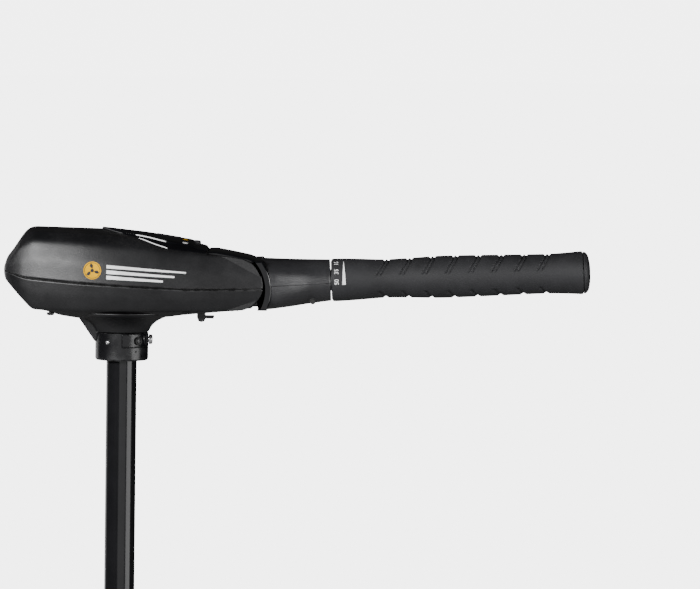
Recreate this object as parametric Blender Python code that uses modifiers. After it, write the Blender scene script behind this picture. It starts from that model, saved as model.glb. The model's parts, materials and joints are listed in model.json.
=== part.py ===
"""A transom-mount electric trolling motor, in metres, +Z up.

The origin is the middle of the bracket face that bears on the outside of the boat's transom. +X points
into the boat, so the tiller reaches towards +X and the propeller drives water towards -X.
Every sub-part is one closed solid. It is parented to the empty of the assembly that it belongs to, and
its own coordinates are in that assembly's frame:

    bracket_frame   the origin
    head_frame      on the shaft's axis, level with the lower edge of the collar under the head
    tiller_frame    on the tiller's tilt pin, +X along the tiller, which rises a little from the level
    pod_frame       where the shaft's axis meets the motor's axis
"""

import math

import bmesh
import bpy
import numpy as np
from mathutils import Matrix, Vector

# Driving dimensions
SHAFT_RADIUS = 0.0135
SHAFT_LENGTH = 0.762
SHAFT_X = -0.072
HEAD_Z = 0.335
SHAFT_IN_HEAD = 0.052
SHAFT_IN_POD = 0.042
POD_RADIUS = 0.046
PROPELLER_RADIUS = 0.127
WALL = 0.0026
GAP = 0.0003
FREE = 0.0004  # what a turning or sliding piece keeps clear of a faceted bore

# Derived places
SHAFT_TOP = HEAD_Z + SHAFT_IN_HEAD
POD_Z = SHAFT_TOP - SHAFT_LENGTH - SHAFT_IN_POD
TILLER_PIVOT = Vector((0.0902, 0.0, 0.0658))  # in the head's frame
TILLER_RISE = math.radians(2.5)
GRIP_AXIS_Z = 0.0034  # the grip's axis above the tilt pin, in the tiller's frame

PARTS = None
CUTTERS = None


# ---------------------------------------------------------------- modelling helpers


def clear_scene():
    for obj in list(bpy.data.objects):
        bpy.data.objects.remove(obj, do_unlink=True)


def collection(name):
    made = bpy.data.collections.new(name)
    bpy.context.scene.collection.children.link(made)
    return made


def frame_at(name, location, turn_y=0.0):
    """An empty that carries one assembly."""
    empty = bpy.data.objects.new(name, None)
    empty.location = location
    empty.rotation_euler = (0.0, turn_y, 0.0)
    PARTS.objects.link(empty)
    return empty


def material(name, colour, roughness, metallic=0.0):
    made = bpy.data.materials.new(name)
    made.use_nodes = True
    shader = made.node_tree.nodes["Principled BSDF"]
    shader.inputs["Base Color"].default_value = (*colour, 1.0)
    shader.inputs["Roughness"].default_value = roughness
    shader.inputs["Metallic"].default_value = metallic
    return made


def object_of(name, mesh, parent, look):
    obj = bpy.data.objects.new(name, mesh)
    PARTS.objects.link(obj)
    obj.parent = parent
    if look:
        mesh.materials.append(look)
    return obj


def object_from_bmesh(name, bm, parent, look):
    mesh = bpy.data.meshes.new(name)
    bm.to_mesh(mesh)
    bm.free()
    return object_of(name, mesh, parent, look)


def shade(obj, angle=35.0):
    obj.data.shade_smooth()
    obj.data.set_sharp_from_angle(angle=math.radians(angle))


def round_edges(obj, width, segments=2):
    """Rounds the sharp edges of a solid."""
    bevel = obj.modifiers.new("rounded_edges", "BEVEL")
    bevel.width = width
    bevel.segments = segments
    bevel.limit_method = "ANGLE"
    bevel.angle_limit = math.radians(40)
    return obj


def block(name, low, high, parent, look=None, rounded=0.0):
    """A box between two corners."""
    bm = bmesh.new()
    bmesh.ops.create_cube(bm, size=1.0)
    size = [h - l for l, h in zip(low, high)]
    centre = [(h + l) / 2 for l, h in zip(low, high)]
    bmesh.ops.scale(bm, vec=size, verts=bm.verts)
    bmesh.ops.translate(bm, vec=centre, verts=bm.verts)
    obj = object_from_bmesh(name, bm, parent, look)
    return round_edges(obj, rounded) if rounded else obj


def rod(name, radius, start, end, parent, look=None, sides=16):
    """A plain cylinder between the centres of its two ends."""
    start, end = Vector(start), Vector(end)
    along = end - start
    bm = bmesh.new()
    bmesh.ops.create_cone(
        bm, cap_ends=True, segments=sides, radius1=radius, radius2=radius, depth=along.length
    )
    turn = along.to_track_quat("Z", "Y").to_matrix().to_4x4()
    bmesh.ops.transform(bm, matrix=Matrix.Translation((start + end) / 2) @ turn, verts=bm.verts)
    obj = object_from_bmesh(name, bm, parent, look)
    shade(obj)
    return obj


AXIS_TURN = {
    "X": (0.0, math.pi / 2, 0.0),
    "Y": (-math.pi / 2, 0.0, 0.0),
    "Z": (0.0, 0.0, 0.0),
}


def turned(name, profile, parent, look=None, axis="Z", at=(0.0, 0.0, 0.0), sides=24):
    """A lathe-turned piece. The profile is (radius, height along the axis) pairs that run down the outer
    side from the top; a ring's profile then runs up its bore, and a solid's starts and ends at radius 0."""
    mesh = bpy.data.meshes.new(name)
    count = len(profile)
    edges = [(i, i + 1) for i in range(count - 1)]
    if profile[0][0] > 0:
        edges.append((count - 1, 0))
    mesh.from_pydata([(radius, 0.0, height) for radius, height in profile], edges, [])
    obj = object_of(name, mesh, parent, look)
    obj.location = at
    obj.rotation_euler = AXIS_TURN[axis]
    screw = obj.modifiers.new("lathe", "SCREW")
    screw.axis = "Z"
    screw.angle = 2 * math.pi
    screw.steps = screw.render_steps = sides
    screw.use_merge_vertices = True
    screw.merge_threshold = 0.00001
    return obj


def ring_profile(outer, inner, high, low):
    return [(outer, high), (outer, low), (inner, low), (inner, high)]


def arc(centre, radius, start, end, steps):
    """Points on an arc, its angles in degrees."""
    return [
        (
            centre[0] + radius * math.cos(math.radians(start + (end - start) * i / steps)),
            centre[1] + radius * math.sin(math.radians(start + (end - start) * i / steps)),
        )
        for i in range(steps + 1)
    ]


PLATE_TURN = {
    "X": Matrix(((0, 0, 1, 0), (1, 0, 0, 0), (0, 1, 0, 0), (0, 0, 0, 1))),
    "Y": Matrix(((1, 0, 0, 0), (0, 0, -1, 0), (0, 1, 0, 0), (0, 0, 0, 1))),
    "Z": Matrix.Identity(4),
}


def plate(name, outline, low, high, parent, look=None, across="Y", rounded=0.0):
    """A flat outline with a thickness, from low to high along the axis across it. The outline's pairs are
    (x, z) for Y, (y, z) for X and (x, y) for Z."""
    curve = bpy.data.curves.new(name + "_outline", "CURVE")
    curve.dimensions = "2D"
    curve.fill_mode = "BOTH"
    curve.extrude = (high - low) / 2
    spline = curve.splines.new("POLY")
    spline.points.add(len(outline) - 1)
    for point, (a, b) in zip(spline.points, outline):
        point.co = (a, b, 0.0, 1.0)
    spline.use_cyclic_u = True
    guide = bpy.data.objects.new(name + "_outline", curve)
    PARTS.objects.link(guide)
    bpy.context.view_layer.update()
    mesh = bpy.data.meshes.new_from_object(guide.evaluated_get(bpy.context.evaluated_depsgraph_get()))
    bpy.data.objects.remove(guide, do_unlink=True)
    bm = bmesh.new()
    bm.from_mesh(mesh)
    bmesh.ops.remove_doubles(bm, verts=bm.verts, dist=0.00001)
    shift = {"X": ((low + high) / 2, 0, 0), "Y": (0, (low + high) / 2, 0), "Z": (0, 0, (low + high) / 2)}
    matrix = Matrix.Translation(shift[across]) @ PLATE_TURN[across]
    bmesh.ops.transform(bm, matrix=matrix, verts=bm.verts)
    bmesh.ops.recalc_face_normals(bm, faces=bm.faces)
    obj = object_from_bmesh(name, bm, parent, look)
    return round_edges(obj, rounded) if rounded else obj


def loft(name, rings, parent, look=None):
    """A solid through closed sections with the same number of points, capped at both ends."""
    bm = bmesh.new()
    rows = [[bm.verts.new(point) for point in ring] for ring in rings]
    count = len(rows[0])
    for first, second in zip(rows, rows[1:]):
        for i in range(count):
            j = (i + 1) % count
            bm.faces.new((first[i], first[j], second[j], second[i]))
    bm.faces.new(rows[0])
    bm.faces.new(rows[-1])
    bmesh.ops.recalc_face_normals(bm, faces=bm.faces)
    obj = object_from_bmesh(name, bm, parent, look)
    shade(obj)
    return obj


def tube(name, points, radius, parent, look, roundness=2):
    """A wire along points, as a curve with a round bevel and filled ends."""
    curve = bpy.data.curves.new(name, "CURVE")
    curve.dimensions = "3D"
    curve.bevel_depth = radius
    curve.bevel_resolution = roundness
    curve.use_fill_caps = True
    spline = curve.splines.new("POLY")
    spline.points.add(len(points) - 1)
    for point, place in zip(spline.points, points):
        point.co = (*place, 1.0)
    return object_of(name, curve, parent, look)


def as_cutter(tool):
    for holder in list(tool.users_collection):
        holder.objects.unlink(tool)
    CUTTERS.objects.link(tool)
    tool.hide_render = True
    tool.display_type = "WIRE"


def combine(obj, operation, tools):
    for tool in tools:
        boolean = obj.modifiers.new(tool.name, "BOOLEAN")
        boolean.operation = operation
        boolean.solver = "EXACT"
        boolean.object = tool
        as_cutter(tool)
    return obj


def cut(obj, *tools):
    return combine(obj, "DIFFERENCE", tools)


def add(obj, *tools):
    return combine(obj, "UNION", tools)


def keep_inside(obj, *tools):
    return combine(obj, "INTERSECT", tools)


# ---------------------------------------------------------------- the bracket on the transom

HINGE = (-0.020, 0.058)  # the tilt pin's x and z
HINGE_RADIUS = 0.005
PLATE_BACK = -0.009
PLATE_HALF_WIDTH = 0.048
PLATE_BOTTOM = -0.062
BRIDGE_UNDER = 0.034
BRIDGE_TOP = 0.044
ARM_INNER, ARM_OUTER = 0.020, 0.046
LEG_NEAR, LEG_FAR = 0.072, 0.084
LEG_BOTTOM = -0.032
EAR_INNER, EAR_OUTER = 0.024, 0.033
SCREW_Y, SCREW_Z = 0.033, -0.014
SCREW_RADIUS = 0.0058
PAD_FACE = 0.044
PAD_THICKNESS = 0.006
SCREW_START = PAD_FACE + PAD_THICKNESS + GAP
KNOB_START, KNOB_END = 0.132, 0.154
QUADRANT_RADIUS = 0.0305
NOTCH_STEP = 9.0
NOTCH_COUNT = 10


def clamp_bracket(frame, look):
    """The casting that hooks over the transom: an outer plate, two arms over the top, a leg and a screw
    boss on each arm, and two ears for the tilt pin."""
    body = block(
        "clamp_bracket",
        (PLATE_BACK, -PLATE_HALF_WIDTH, PLATE_BOTTOM),
        (0.0, PLATE_HALF_WIDTH, BRIDGE_TOP),
        frame,
        look,
    )
    for side in (-1, 1):
        tag = "left" if side > 0 else "right"
        y_low, y_high = sorted((side * ARM_INNER, side * ARM_OUTER))
        hook = [
            (PLATE_BACK + 0.002, BRIDGE_UNDER),
            (LEG_NEAR - 0.006, BRIDGE_UNDER),
            (LEG_NEAR, BRIDGE_UNDER - 0.006),
            (LEG_NEAR, LEG_BOTTOM),
            (LEG_FAR - 0.003, LEG_BOTTOM),
            (LEG_FAR, LEG_BOTTOM + 0.003),
            (LEG_FAR, BRIDGE_TOP - 0.008),
            (LEG_FAR - 0.008, BRIDGE_TOP),
            (PLATE_BACK + 0.002, BRIDGE_TOP),
        ]
        add(body, plate(f"hook_{tag}", hook, y_low, y_high, frame))
        boss = rod(
            f"screw_boss_{tag}",
            0.012,
            (LEG_NEAR - 0.006, side * SCREW_Y, SCREW_Z),
            (LEG_FAR + 0.010, side * SCREW_Y, SCREW_Z),
            frame,
        )
        add(body, boss)
        ear = [
            (PLATE_BACK + 0.003, 0.004),
            (PLATE_BACK + 0.003, BRIDGE_TOP - 0.001),
            (-0.002, BRIDGE_TOP - 0.001),
            *arc(HINGE, 0.012, 10, 170, 8),
            (-0.030, 0.036),
        ]
        y_low, y_high = sorted((side * EAR_INNER, side * EAR_OUTER))
        add(body, plate(f"ear_{tag}", ear, y_low, y_high, frame))
    for side in (-1, 1):
        bore = rod(
            f"screw_bore_{side}",
            SCREW_RADIUS + FREE,
            (LEG_NEAR - 0.02, side * SCREW_Y, SCREW_Z),
            (LEG_FAR + 0.02, side * SCREW_Y, SCREW_Z),
            frame,
        )
        cut(body, bore)
    pin_hole = rod(
        "hinge_bore", HINGE_RADIUS + FREE, (HINGE[0], -0.06, HINGE[1]), (HINGE[0], 0.06, HINGE[1]), frame
    )
    window = block("plate_window", (-0.02, -0.016, -0.044), (0.01, 0.016, -0.016), frame, rounded=0.004)
    return cut(body, pin_hole, window)


def lock_quadrant(frame, look):
    """The notched sector beside the left ear, one notch for each tilt position."""
    start = 180.0 - NOTCH_STEP * (NOTCH_COUNT - 1) - 5.0
    outline = [(HINGE[0] + 0.010, HINGE[1] - 0.004), *arc(HINGE, 0.0107, 0, 60, 3)]
    outline += arc(HINGE, QUADRANT_RADIUS, start, start + 2.0, 1)
    for i in range(NOTCH_COUNT):
        middle = 180.0 - NOTCH_STEP * (NOTCH_COUNT - 1 - i)
        for radius, turn in ((0, -2.4), (-0.003, -1.8), (-0.003, 1.8), (0, 2.4)):
            outline += arc(HINGE, QUADRANT_RADIUS + radius, middle + turn, middle + turn, 1)[:1]
    outline += arc(HINGE, QUADRANT_RADIUS, 184.5, 186.5, 1) + [(HINGE[0], HINGE[1] - 0.0107)]
    sector = plate("lock_quadrant", outline, EAR_OUTER + GAP, EAR_OUTER + GAP + 0.004, frame, look)
    hole = rod(
        "quadrant_bore", HINGE_RADIUS + FREE, (HINGE[0], 0.02, HINGE[1]), (HINGE[0], 0.05, HINGE[1]), frame
    )
    return cut(sector, hole)


def hinge_pin(frame, look):
    head_y = EAR_OUTER + GAP
    nut_y = head_y + 0.004 + GAP
    profile = [
        (0.0, nut_y + 0.004),
        (0.007, nut_y + 0.004),
        (0.008, nut_y + 0.003),
        (0.008, nut_y),
        (HINGE_RADIUS, nut_y),
        (HINGE_RADIUS, -head_y),
        (0.008, -head_y),
        (0.008, -head_y - 0.003),
        (0.006, -head_y - 0.004),
        (0.0, -head_y - 0.004),
    ]
    return turned("hinge_pin", profile, frame, look, "Y", (HINGE[0], 0.0, HINGE[1]), 16)


def clamp_screws(frame, steel, nylon):
    """On each side a swivel pad, a screw and a wing knob. The pad slides and the screw turns on it."""
    for side, tag in ((1, "left"), (-1, "right")):
        at = (0.0, side * SCREW_Y, SCREW_Z)
        pad = [
            (0.0, PAD_FACE + PAD_THICKNESS),
            (0.009, PAD_FACE + PAD_THICKNESS),
            (0.016, PAD_FACE + 0.0035),
            (0.016, PAD_FACE),
            (0.0, PAD_FACE),
        ]
        turned(f"clamp_pad_{tag}", pad, frame, nylon, "X", at, 16)
        screw = [
            (0.0, KNOB_START + 0.014),
            (0.0045, KNOB_START + 0.014),
            (0.0045, KNOB_START),
            (SCREW_RADIUS, KNOB_START - 0.001),
            (SCREW_RADIUS, SCREW_START + 0.003),
            (0.0035, SCREW_START),
            (0.0, SCREW_START),
        ]
        turned(f"clamp_screw_{tag}", screw, frame, steel, "X", at, 16)
        hub = turned(
            f"clamp_knob_{tag}",
            [
                (0.0, KNOB_END),
                (0.008, KNOB_END),
                (0.011, KNOB_END - 0.004),
                (0.0105, KNOB_START + 0.004),
                (0.009, KNOB_START),
                (0.0, KNOB_START),
            ],
            frame,
            nylon,
            "X",
            at,
            16,
        )
        wing = [
            (side * SCREW_Y + y, SCREW_Z + z)
            for y, z in (
                (-0.0305, 0.004),
                (-0.026, 0.0065),
                (0.0, 0.0045),
                (0.026, 0.0065),
                (0.0305, 0.004),
                (0.0305, -0.004),
                (0.026, -0.0065),
                (0.0, -0.0045),
                (-0.026, -0.0065),
                (-0.0305, -0.004),
            )
        ]
        add(hub, plate(f"wings_{tag}", wing, KNOB_START + 0.003, KNOB_END - 0.003, frame, across="X"))
        socket = rod(
            f"knob_socket_{tag}",
            0.0045 + FREE,
            (KNOB_START - 0.002, at[1], at[2]),
            (KNOB_START + 0.014 + GAP, at[1], at[2]),
            frame,
        )
        relief = rod(
            f"knob_relief_{tag}",
            SCREW_RADIUS + FREE,
            (KNOB_START - 0.003, at[1], at[2]),
            (KNOB_START + GAP, at[1], at[2]),
            frame,
        )
        cut(hub, socket, relief)


# ---------------------------------------------------------------- the yoke, the lever and the collars

YOKE_RADIUS, YOKE_BORE = 0.022, 0.0183
YOKE_BOTTOM, YOKE_TOP = -0.040, 0.0890
BUSH_BORE = SHAFT_RADIUS + FREE
TENSION_Z = 0.015
LEVER = (-0.066, 0.060)
LEVER_Y = EAR_OUTER + GAP
COLLAR_LOW = YOKE_TOP + 0.0026
COLLAR_HIGH = COLLAR_LOW + 0.026
COLLAR_MID = (COLLAR_LOW + COLLAR_HIGH) / 2
STEM_RADIUS = 0.003


def swivel_yoke(frame, look):
    """The sleeve that the shaft turns in, with the lug that hangs on the tilt pin."""
    at = (SHAFT_X, 0.0, 0.0)
    body = turned(
        "swivel_yoke",
        [
            (YOKE_RADIUS - 0.0015, YOKE_TOP),
            (YOKE_RADIUS, YOKE_TOP - 0.0015),
            (YOKE_RADIUS, YOKE_BOTTOM + 0.0015),
            (YOKE_RADIUS - 0.0015, YOKE_BOTTOM),
            (0.010, YOKE_BOTTOM),
            (0.010, YOKE_TOP),
        ],
        frame,
        look,
        "Z",
        at,
    )
    web = [
        (SHAFT_X + 0.012, HINGE[1] - 0.020),
        (HINGE[0] - 0.006, HINGE[1] - 0.009),
        (HINGE[0], HINGE[1]),
        (HINGE[0] - 0.006, HINGE[1] + 0.009),
        (SHAFT_X + 0.012, HINGE[1] + 0.014),
    ]
    barrel_half = EAR_INNER - FREE
    stop_end = (PLATE_BACK - GAP, 0.009, -0.022)
    tools = [
        plate("yoke_web", web, -0.012, 0.012, frame),
        rod(
            "yoke_barrel",
            0.0115,
            (HINGE[0], -barrel_half, HINGE[1]),
            (HINGE[0], barrel_half, HINGE[1]),
            frame,
        ),
        block("yoke_stop", (SHAFT_X + 0.015, -0.009, -0.034), stop_end, frame, rounded=0.002),
        rod("lever_boss", 0.007, (LEVER[0], 0.012, LEVER[1]), (LEVER[0], LEVER_Y - GAP, LEVER[1]), frame),
        rod("tension_boss", 0.008, (SHAFT_X, -0.034, TENSION_Z), (SHAFT_X, -0.012, TENSION_Z), frame),
    ]
    add(body, *tools)
    bottom, top = (SHAFT_X, 0, YOKE_BOTTOM - 0.01), (SHAFT_X, 0, YOKE_TOP + 0.01)
    left, right = (HINGE[0], -0.05, HINGE[1]), (HINGE[0], 0.05, HINGE[1])
    side = (SHAFT_X, -0.05, TENSION_Z)
    holes = [
        rod("sleeve_bore", YOKE_BORE, bottom, top, frame, sides=24),
        rod("barrel_bore", HINGE_RADIUS + FREE, left, right, frame),
        rod("lever_bore", 0.0028, (LEVER[0], 0.0245, LEVER[1]), (LEVER[0], 0.04, LEVER[1]), frame),
        rod("tension_bore", STEM_RADIUS + FREE, side, (SHAFT_X, 0.0, TENSION_Z), frame),
    ]
    return cut(body, *holes)


def steering_bushes(frame, look):
    """A flanged nylon bush in each end of the yoke."""
    at = (SHAFT_X, 0.0, 0.0)
    sleeve = YOKE_BORE - GAP
    upper = [
        (0.0235, YOKE_TOP + 0.0023),
        (0.0235, YOKE_TOP + GAP),
        (sleeve, YOKE_TOP + GAP),
        (sleeve, YOKE_TOP - 0.030),
        (BUSH_BORE, YOKE_TOP - 0.030),
        (BUSH_BORE, YOKE_TOP + 0.0023),
    ]
    lower = [
        (sleeve, YOKE_BOTTOM + 0.030),
        (sleeve, YOKE_BOTTOM - GAP),
        (0.0235, YOKE_BOTTOM - GAP),
        (0.0235, YOKE_BOTTOM - 0.0023),
        (BUSH_BORE, YOKE_BOTTOM - 0.0023),
        (BUSH_BORE, YOKE_BOTTOM + 0.030),
    ]
    turned("steering_bush_upper", upper, frame, look, "Z", at)
    turned("steering_bush_lower", lower, frame, look, "Z", at)


def release_lever(frame, look):
    """The thumb lever whose tooth faces the quadrant, on its own pivot in the yoke's boss."""
    tooth = HINGE[0] - QUADRANT_RADIUS - 0.0006
    outline = [
        (tooth, HINGE[1] - 0.0011),
        (tooth, HINGE[1] + 0.0011),
        (tooth - 0.003, HINGE[1] + 0.004),
        *arc(LEVER, 0.008, 30, 110, 4),
        (LEVER[0] - 0.030, LEVER[1] + 0.013),
        (LEVER[0] - 0.044, LEVER[1] + 0.016),
        (LEVER[0] - 0.046, LEVER[1] + 0.010),
        (LEVER[0] - 0.030, LEVER[1] + 0.003),
        *arc(LEVER, 0.008, 190, 330, 6),
        (tooth - 0.003, HINGE[1] - 0.003),
    ]
    lever = plate("release_lever", outline, LEVER_Y, LEVER_Y + 0.004, frame, look)
    pad = block(
        "thumb_pad",
        (LEVER[0] - 0.047, LEVER_Y, LEVER[1] + 0.012),
        (LEVER[0] - 0.031, LEVER_Y + 0.014, LEVER[1] + 0.016),
        frame,
        rounded=0.0015,
    )
    add(lever, pad)
    inner, outer = (LEVER[0], 0.0255, LEVER[1]), (LEVER[0], LEVER_Y + 0.0065, LEVER[1])
    return add(lever, rod("lever_pivot", 0.0024, inner, outer, frame))


def lobed_knob(name, place, tip, look, frame):
    """A hand knob with six lobes on a steel-cored stem that points along +Y towards the shaft.
    place is the centre of the knob's inner face, and tip is the y at which the stem ends."""
    x, y, z = place
    outline = []
    for i in range(24):
        angle = 2 * math.pi * i / 24
        radius = 0.0135 + 0.0015 * math.cos(6 * angle)
        outline.append((x + radius * math.cos(angle), z + radius * math.sin(angle)))
    knob = plate(name, outline, y - 0.016, y, frame, look, rounded=0.0012)
    add(knob, rod(name + "_hub", 0.007, (x, y - 0.004, z), (x, y + 0.004, z), frame))
    add(knob, rod(name + "_stem", STEM_RADIUS, (x, y - 0.002, z), (x, tip, z), frame))
    return knob


def depth_collar(frame, look):
    """The ring that clamps the shaft and rests on the yoke, so it sets the running depth."""
    at = (SHAFT_X, 0.0, 0.0)
    body = turned(
        "depth_collar",
        [
            (0.0225, COLLAR_HIGH),
            (0.024, COLLAR_HIGH - 0.0015),
            (0.024, COLLAR_LOW + 0.0015),
            (0.0225, COLLAR_LOW),
            (BUSH_BORE, COLLAR_LOW),
            (BUSH_BORE, COLLAR_HIGH),
        ],
        frame,
        look,
        "Z",
        at,
    )
    boss = block(
        "collar_boss",
        (SHAFT_X - 0.009, -0.036, COLLAR_MID - 0.008),
        (SHAFT_X + 0.009, -0.018, COLLAR_MID + 0.008),
        frame,
        rounded=0.002,
    )
    outside = (SHAFT_X, -0.05, COLLAR_MID)
    bore = rod("collar_bore", STEM_RADIUS + FREE, outside, (SHAFT_X, 0.0, COLLAR_MID), frame)
    add(body, boss)
    return cut(body, bore)


# ---------------------------------------------------------------- the head

# Guide lines of the head's shells, in its own frame: x against each height, and against the half width.
NOSE_X, FRONT_X = -0.1058, 0.130
TOP_LINE = (
    (-0.1058, -0.103, -0.098, -0.0905, -0.085, -0.079, -0.072, -0.018, 0.0215, 0.053, 0.077, 0.130),
    (0.0800, 0.0860, 0.0945, 0.1060, 0.1135, 0.1165, 0.1175, 0.1165, 0.1128, 0.1075, 0.1025, 0.0930),
)
SHOULDER_LINE = (
    (-0.1058, -0.103, -0.098, -0.090, -0.078, -0.018, 0.041, 0.079, 0.130),
    (0.0795, 0.0840, 0.0900, 0.1000, 0.1080, 0.1060, 0.0985, 0.0940, 0.0840),
)
SEAM_LINE = (
    (-0.1058, -0.085, -0.034, 0.022, 0.060, 0.097, 0.130),
    (0.0783, 0.0711, 0.0675, 0.0651, 0.0633, 0.0643, 0.0652),
)
CREASE_LINE = (
    (-0.1058, -0.0778, -0.050, 0.080, 0.130),
    (0.0768, 0.0449, 0.0444, 0.0448, 0.0475),
)
KEEL_LINE = (
    (-0.1058, -0.0778, -0.069, -0.0524, -0.0355, 0.0413, 0.0562, 0.1067, 0.130),
    (0.0765, 0.0443, 0.0434, 0.0388, 0.0365, 0.0386, 0.0407, 0.0448, 0.0470),
)
WIDTH_LINE = (
    (-0.1058, -0.103, -0.098, -0.088, -0.078, -0.060, -0.030, 0.0, 0.030, 0.060, 0.078, 0.100, 0.130),
    (0.0180, 0.0260, 0.0335, 0.0415, 0.0460, 0.0515, 0.0555, 0.0560, 0.0530, 0.0475, 0.0440, 0.0405, 0.0382),
)
STATIONS = (-0.1058, -0.103, -0.098, -0.088, -0.078, -0.060, -0.030, 0.0, 0.030, 0.060, 0.078, 0.100, 0.130)
DECK_SHARE, SHOULDER_SHARE = 0.62, 0.88  # of the half width, at the deck's edge and at the shoulder
COLLAR_RADIUS = 0.0236
COLLAR_HEIGHT = 0.0246
SOCKET_TOP = SHAFT_IN_HEAD + 0.004


def at_x(line, x):
    return float(np.interp(x, *line))


def mirrored(half):
    """A whole section from its +Y half, which runs from one edge to a point on the middle plane."""
    return half + [(-y, z) for y, z in reversed(half[:-1])]


def cover_ring(x, inset=0.0, below=0.0):
    """The upper shell's section at x, shrunk by inset, its open side lowered by below."""
    width = at_x(WIDTH_LINE, x) - inset
    top = at_x(TOP_LINE, x) - inset
    shoulder = at_x(SHOULDER_LINE, x) - inset * 0.8
    seam = at_x(SEAM_LINE, x) + GAP / 2 - below
    half = [
        (width, seam),
        (width * 0.975, (shoulder + at_x(SEAM_LINE, x)) / 2),
        (width * SHOULDER_SHARE, shoulder),
        (width * DECK_SHARE, max(top - 0.003, shoulder + 0.0002)),
        (0.0, top),
    ]
    return [(x, y, z) for y, z in mirrored(half)]


def housing_ring(x, inset=0.0, above=0.0):
    """The lower shell's section at x, shrunk by inset, its open side raised by above."""
    width = at_x(WIDTH_LINE, x) - inset
    crease = at_x(CREASE_LINE, x) + inset
    keel = at_x(KEEL_LINE, x) + inset
    seam = at_x(SEAM_LINE, x) - GAP / 2 + above
    half = [
        (width, seam),
        (width * 0.965, (crease + at_x(SEAM_LINE, x)) / 2),
        (width * 0.90, crease),
        (width * 0.50, min(keel + 0.0015, crease)),
        (0.0, keel),
    ]
    return [(x, y, z) for y, z in mirrored(half)]


def hollow_stations():
    """Stations of a shell's inside, which starts a wall behind the nose and runs out at the front."""
    return [NOSE_X + 2.2 * WALL, *[x for x in STATIONS if -0.095 < x < 0.12], FRONT_X + 0.01]


def ear_outline():
    """What the shells keep: all of the head up to the ears' bullet-shaped ends."""
    return [
        (-0.12, 0.0),
        (0.1080, 0.0),
        (0.1080, 0.0452),
        (0.1147, 0.0473),
        (0.1200, 0.0514),
        (0.1235, 0.0565),
        (0.1255, 0.0620),
        (0.1258, 0.0680),
        (0.1243, 0.0745),
        (0.1210, 0.0792),
        (0.1165, 0.0828),
        (0.1000, 0.0885),
        (0.0790, 0.0935),
        (0.0772, 0.0960),
        (0.0765, 0.14),
        (-0.12, 0.14),
    ]


def cradle_outline():
    """The space between the ears that the tiller's knuckle swings in."""
    pivot = (TILLER_PIVOT.x, TILLER_PIVOT.z)
    return [
        (0.150, 0.140),
        *arc(pivot, 0.0366, 90, 180, 8),
        (pivot[0] - 0.0366, 0.0478),
        (0.1120, 0.0478),
        (0.1120, 0.0),
        (0.150, 0.0),
    ]


def head_shells(frame, look):
    """The cover above the seam and the housing below it, with the neck that takes the shaft."""
    cover = loft("head_cover", [cover_ring(x) for x in STATIONS], frame, look)
    cover_hollow = loft(
        "cover_hollow", [cover_ring(x, WALL, below=0.004) for x in hollow_stations()], frame
    )
    cut(cover, cover_hollow, plate("cover_cradle", cradle_outline(), -0.0346, 0.0346, frame))
    keep_inside(cover, plate("cover_outline", ear_outline(), -0.08, 0.08, frame))
    button_hole = rod("button_hole", 0.0062, (BUTTON_X, 0, 0.09), (BUTTON_X, 0, 0.13), frame)
    cut(cover, button_hole)

    housing = loft("head_housing", [housing_ring(x) for x in STATIONS], frame, look)
    housing_hollow = loft(
        "housing_hollow", [housing_ring(x, WALL, above=0.004) for x in hollow_stations()], frame
    )
    cut(housing, housing_hollow, plate("housing_cradle", cradle_outline(), -0.0346, 0.0346, frame))
    keep_inside(housing, plate("housing_outline", ear_outline(), -0.08, 0.08, frame))
    neck = [
        (0.0195, SOCKET_TOP),
        (0.0195, 0.0475),
        (0.0450, 0.0450),
        (0.0455, 0.0430),
        (0.0420, 0.0400),
        (0.0355, 0.0372),
        (0.0300, 0.0338),
        (0.0262, 0.0298),
        (0.0240, COLLAR_HEIGHT + GAP),
        (0.010, COLLAR_HEIGHT + GAP),
        (0.010, SOCKET_TOP),
    ]
    gusset = [(-0.0375, 0.0400), (-0.0365, 0.0355), (-0.0225, 0.0252), (-0.0150, 0.0252), (-0.0150, 0.0400)]
    add(housing, turned("neck", neck, frame), plate("gusset", gusset, -0.003, 0.003, frame))
    for side in (-1, 1):
        y_low, y_high = sorted((side * 0.0350, side * 0.0375))
        lug = [(0.083, 0.046), (0.0974, 0.046), *arc((TILLER_PIVOT.x, 0.0655), 0.0066, 0, 180, 6)]
        add(housing, plate(f"pin_lug_{side}", lug, y_low, y_high, frame))
        y_low, y_high = sorted((side * 0.0352, side * 0.0384))
        add(housing, block(f"lug_foot_{side}", (0.082, y_low, 0.0458), (0.098, y_high, 0.0622), frame))
    pivot_low = (TILLER_PIVOT.x, -0.0377, TILLER_PIVOT.z)
    pivot_high = (TILLER_PIVOT.x, 0.0377, TILLER_PIVOT.z)
    holes = [
        rod("shaft_bore", SHAFT_RADIUS + GAP, (0, 0, 0), (0, 0, 0.09), frame, sides=24),
        rod("pin_bore", 0.0044, pivot_low, pivot_high, frame),
        block("trigger_slot", (0.0625, -0.0062, 0.02), (0.0785, 0.0062, 0.048), frame),
        rod("gland_seat", 0.0096, (0, GLAND_Y, 0.02), (0, GLAND_Y, 0.0383), frame),
        rod("gland_bore", 0.0063, (0, GLAND_Y, 0.02), (0, GLAND_Y, 0.055), frame),
    ]
    for x, y in HOUSING_SCREWS:
        holes.append(rod(f"screw_hole_{x}_{y}", 0.0040, (x, y, 0.02), (x, y, 0.05), frame))
    cut(housing, *holes)


BUTTON_X = 0.064
GLAND_Y = 0.034
HOUSING_SCREWS = [(x, y) for x in (-0.062, 0.056) for y in (-0.028, 0.028)]
PANEL_LINE = (
    (-0.018, 0.000, 0.015, 0.030, 0.045, 0.060, 0.0752),
    (0.005, 0.014, 0.023, 0.032, 0.0385, 0.0385, 0.0365),
)


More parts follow.
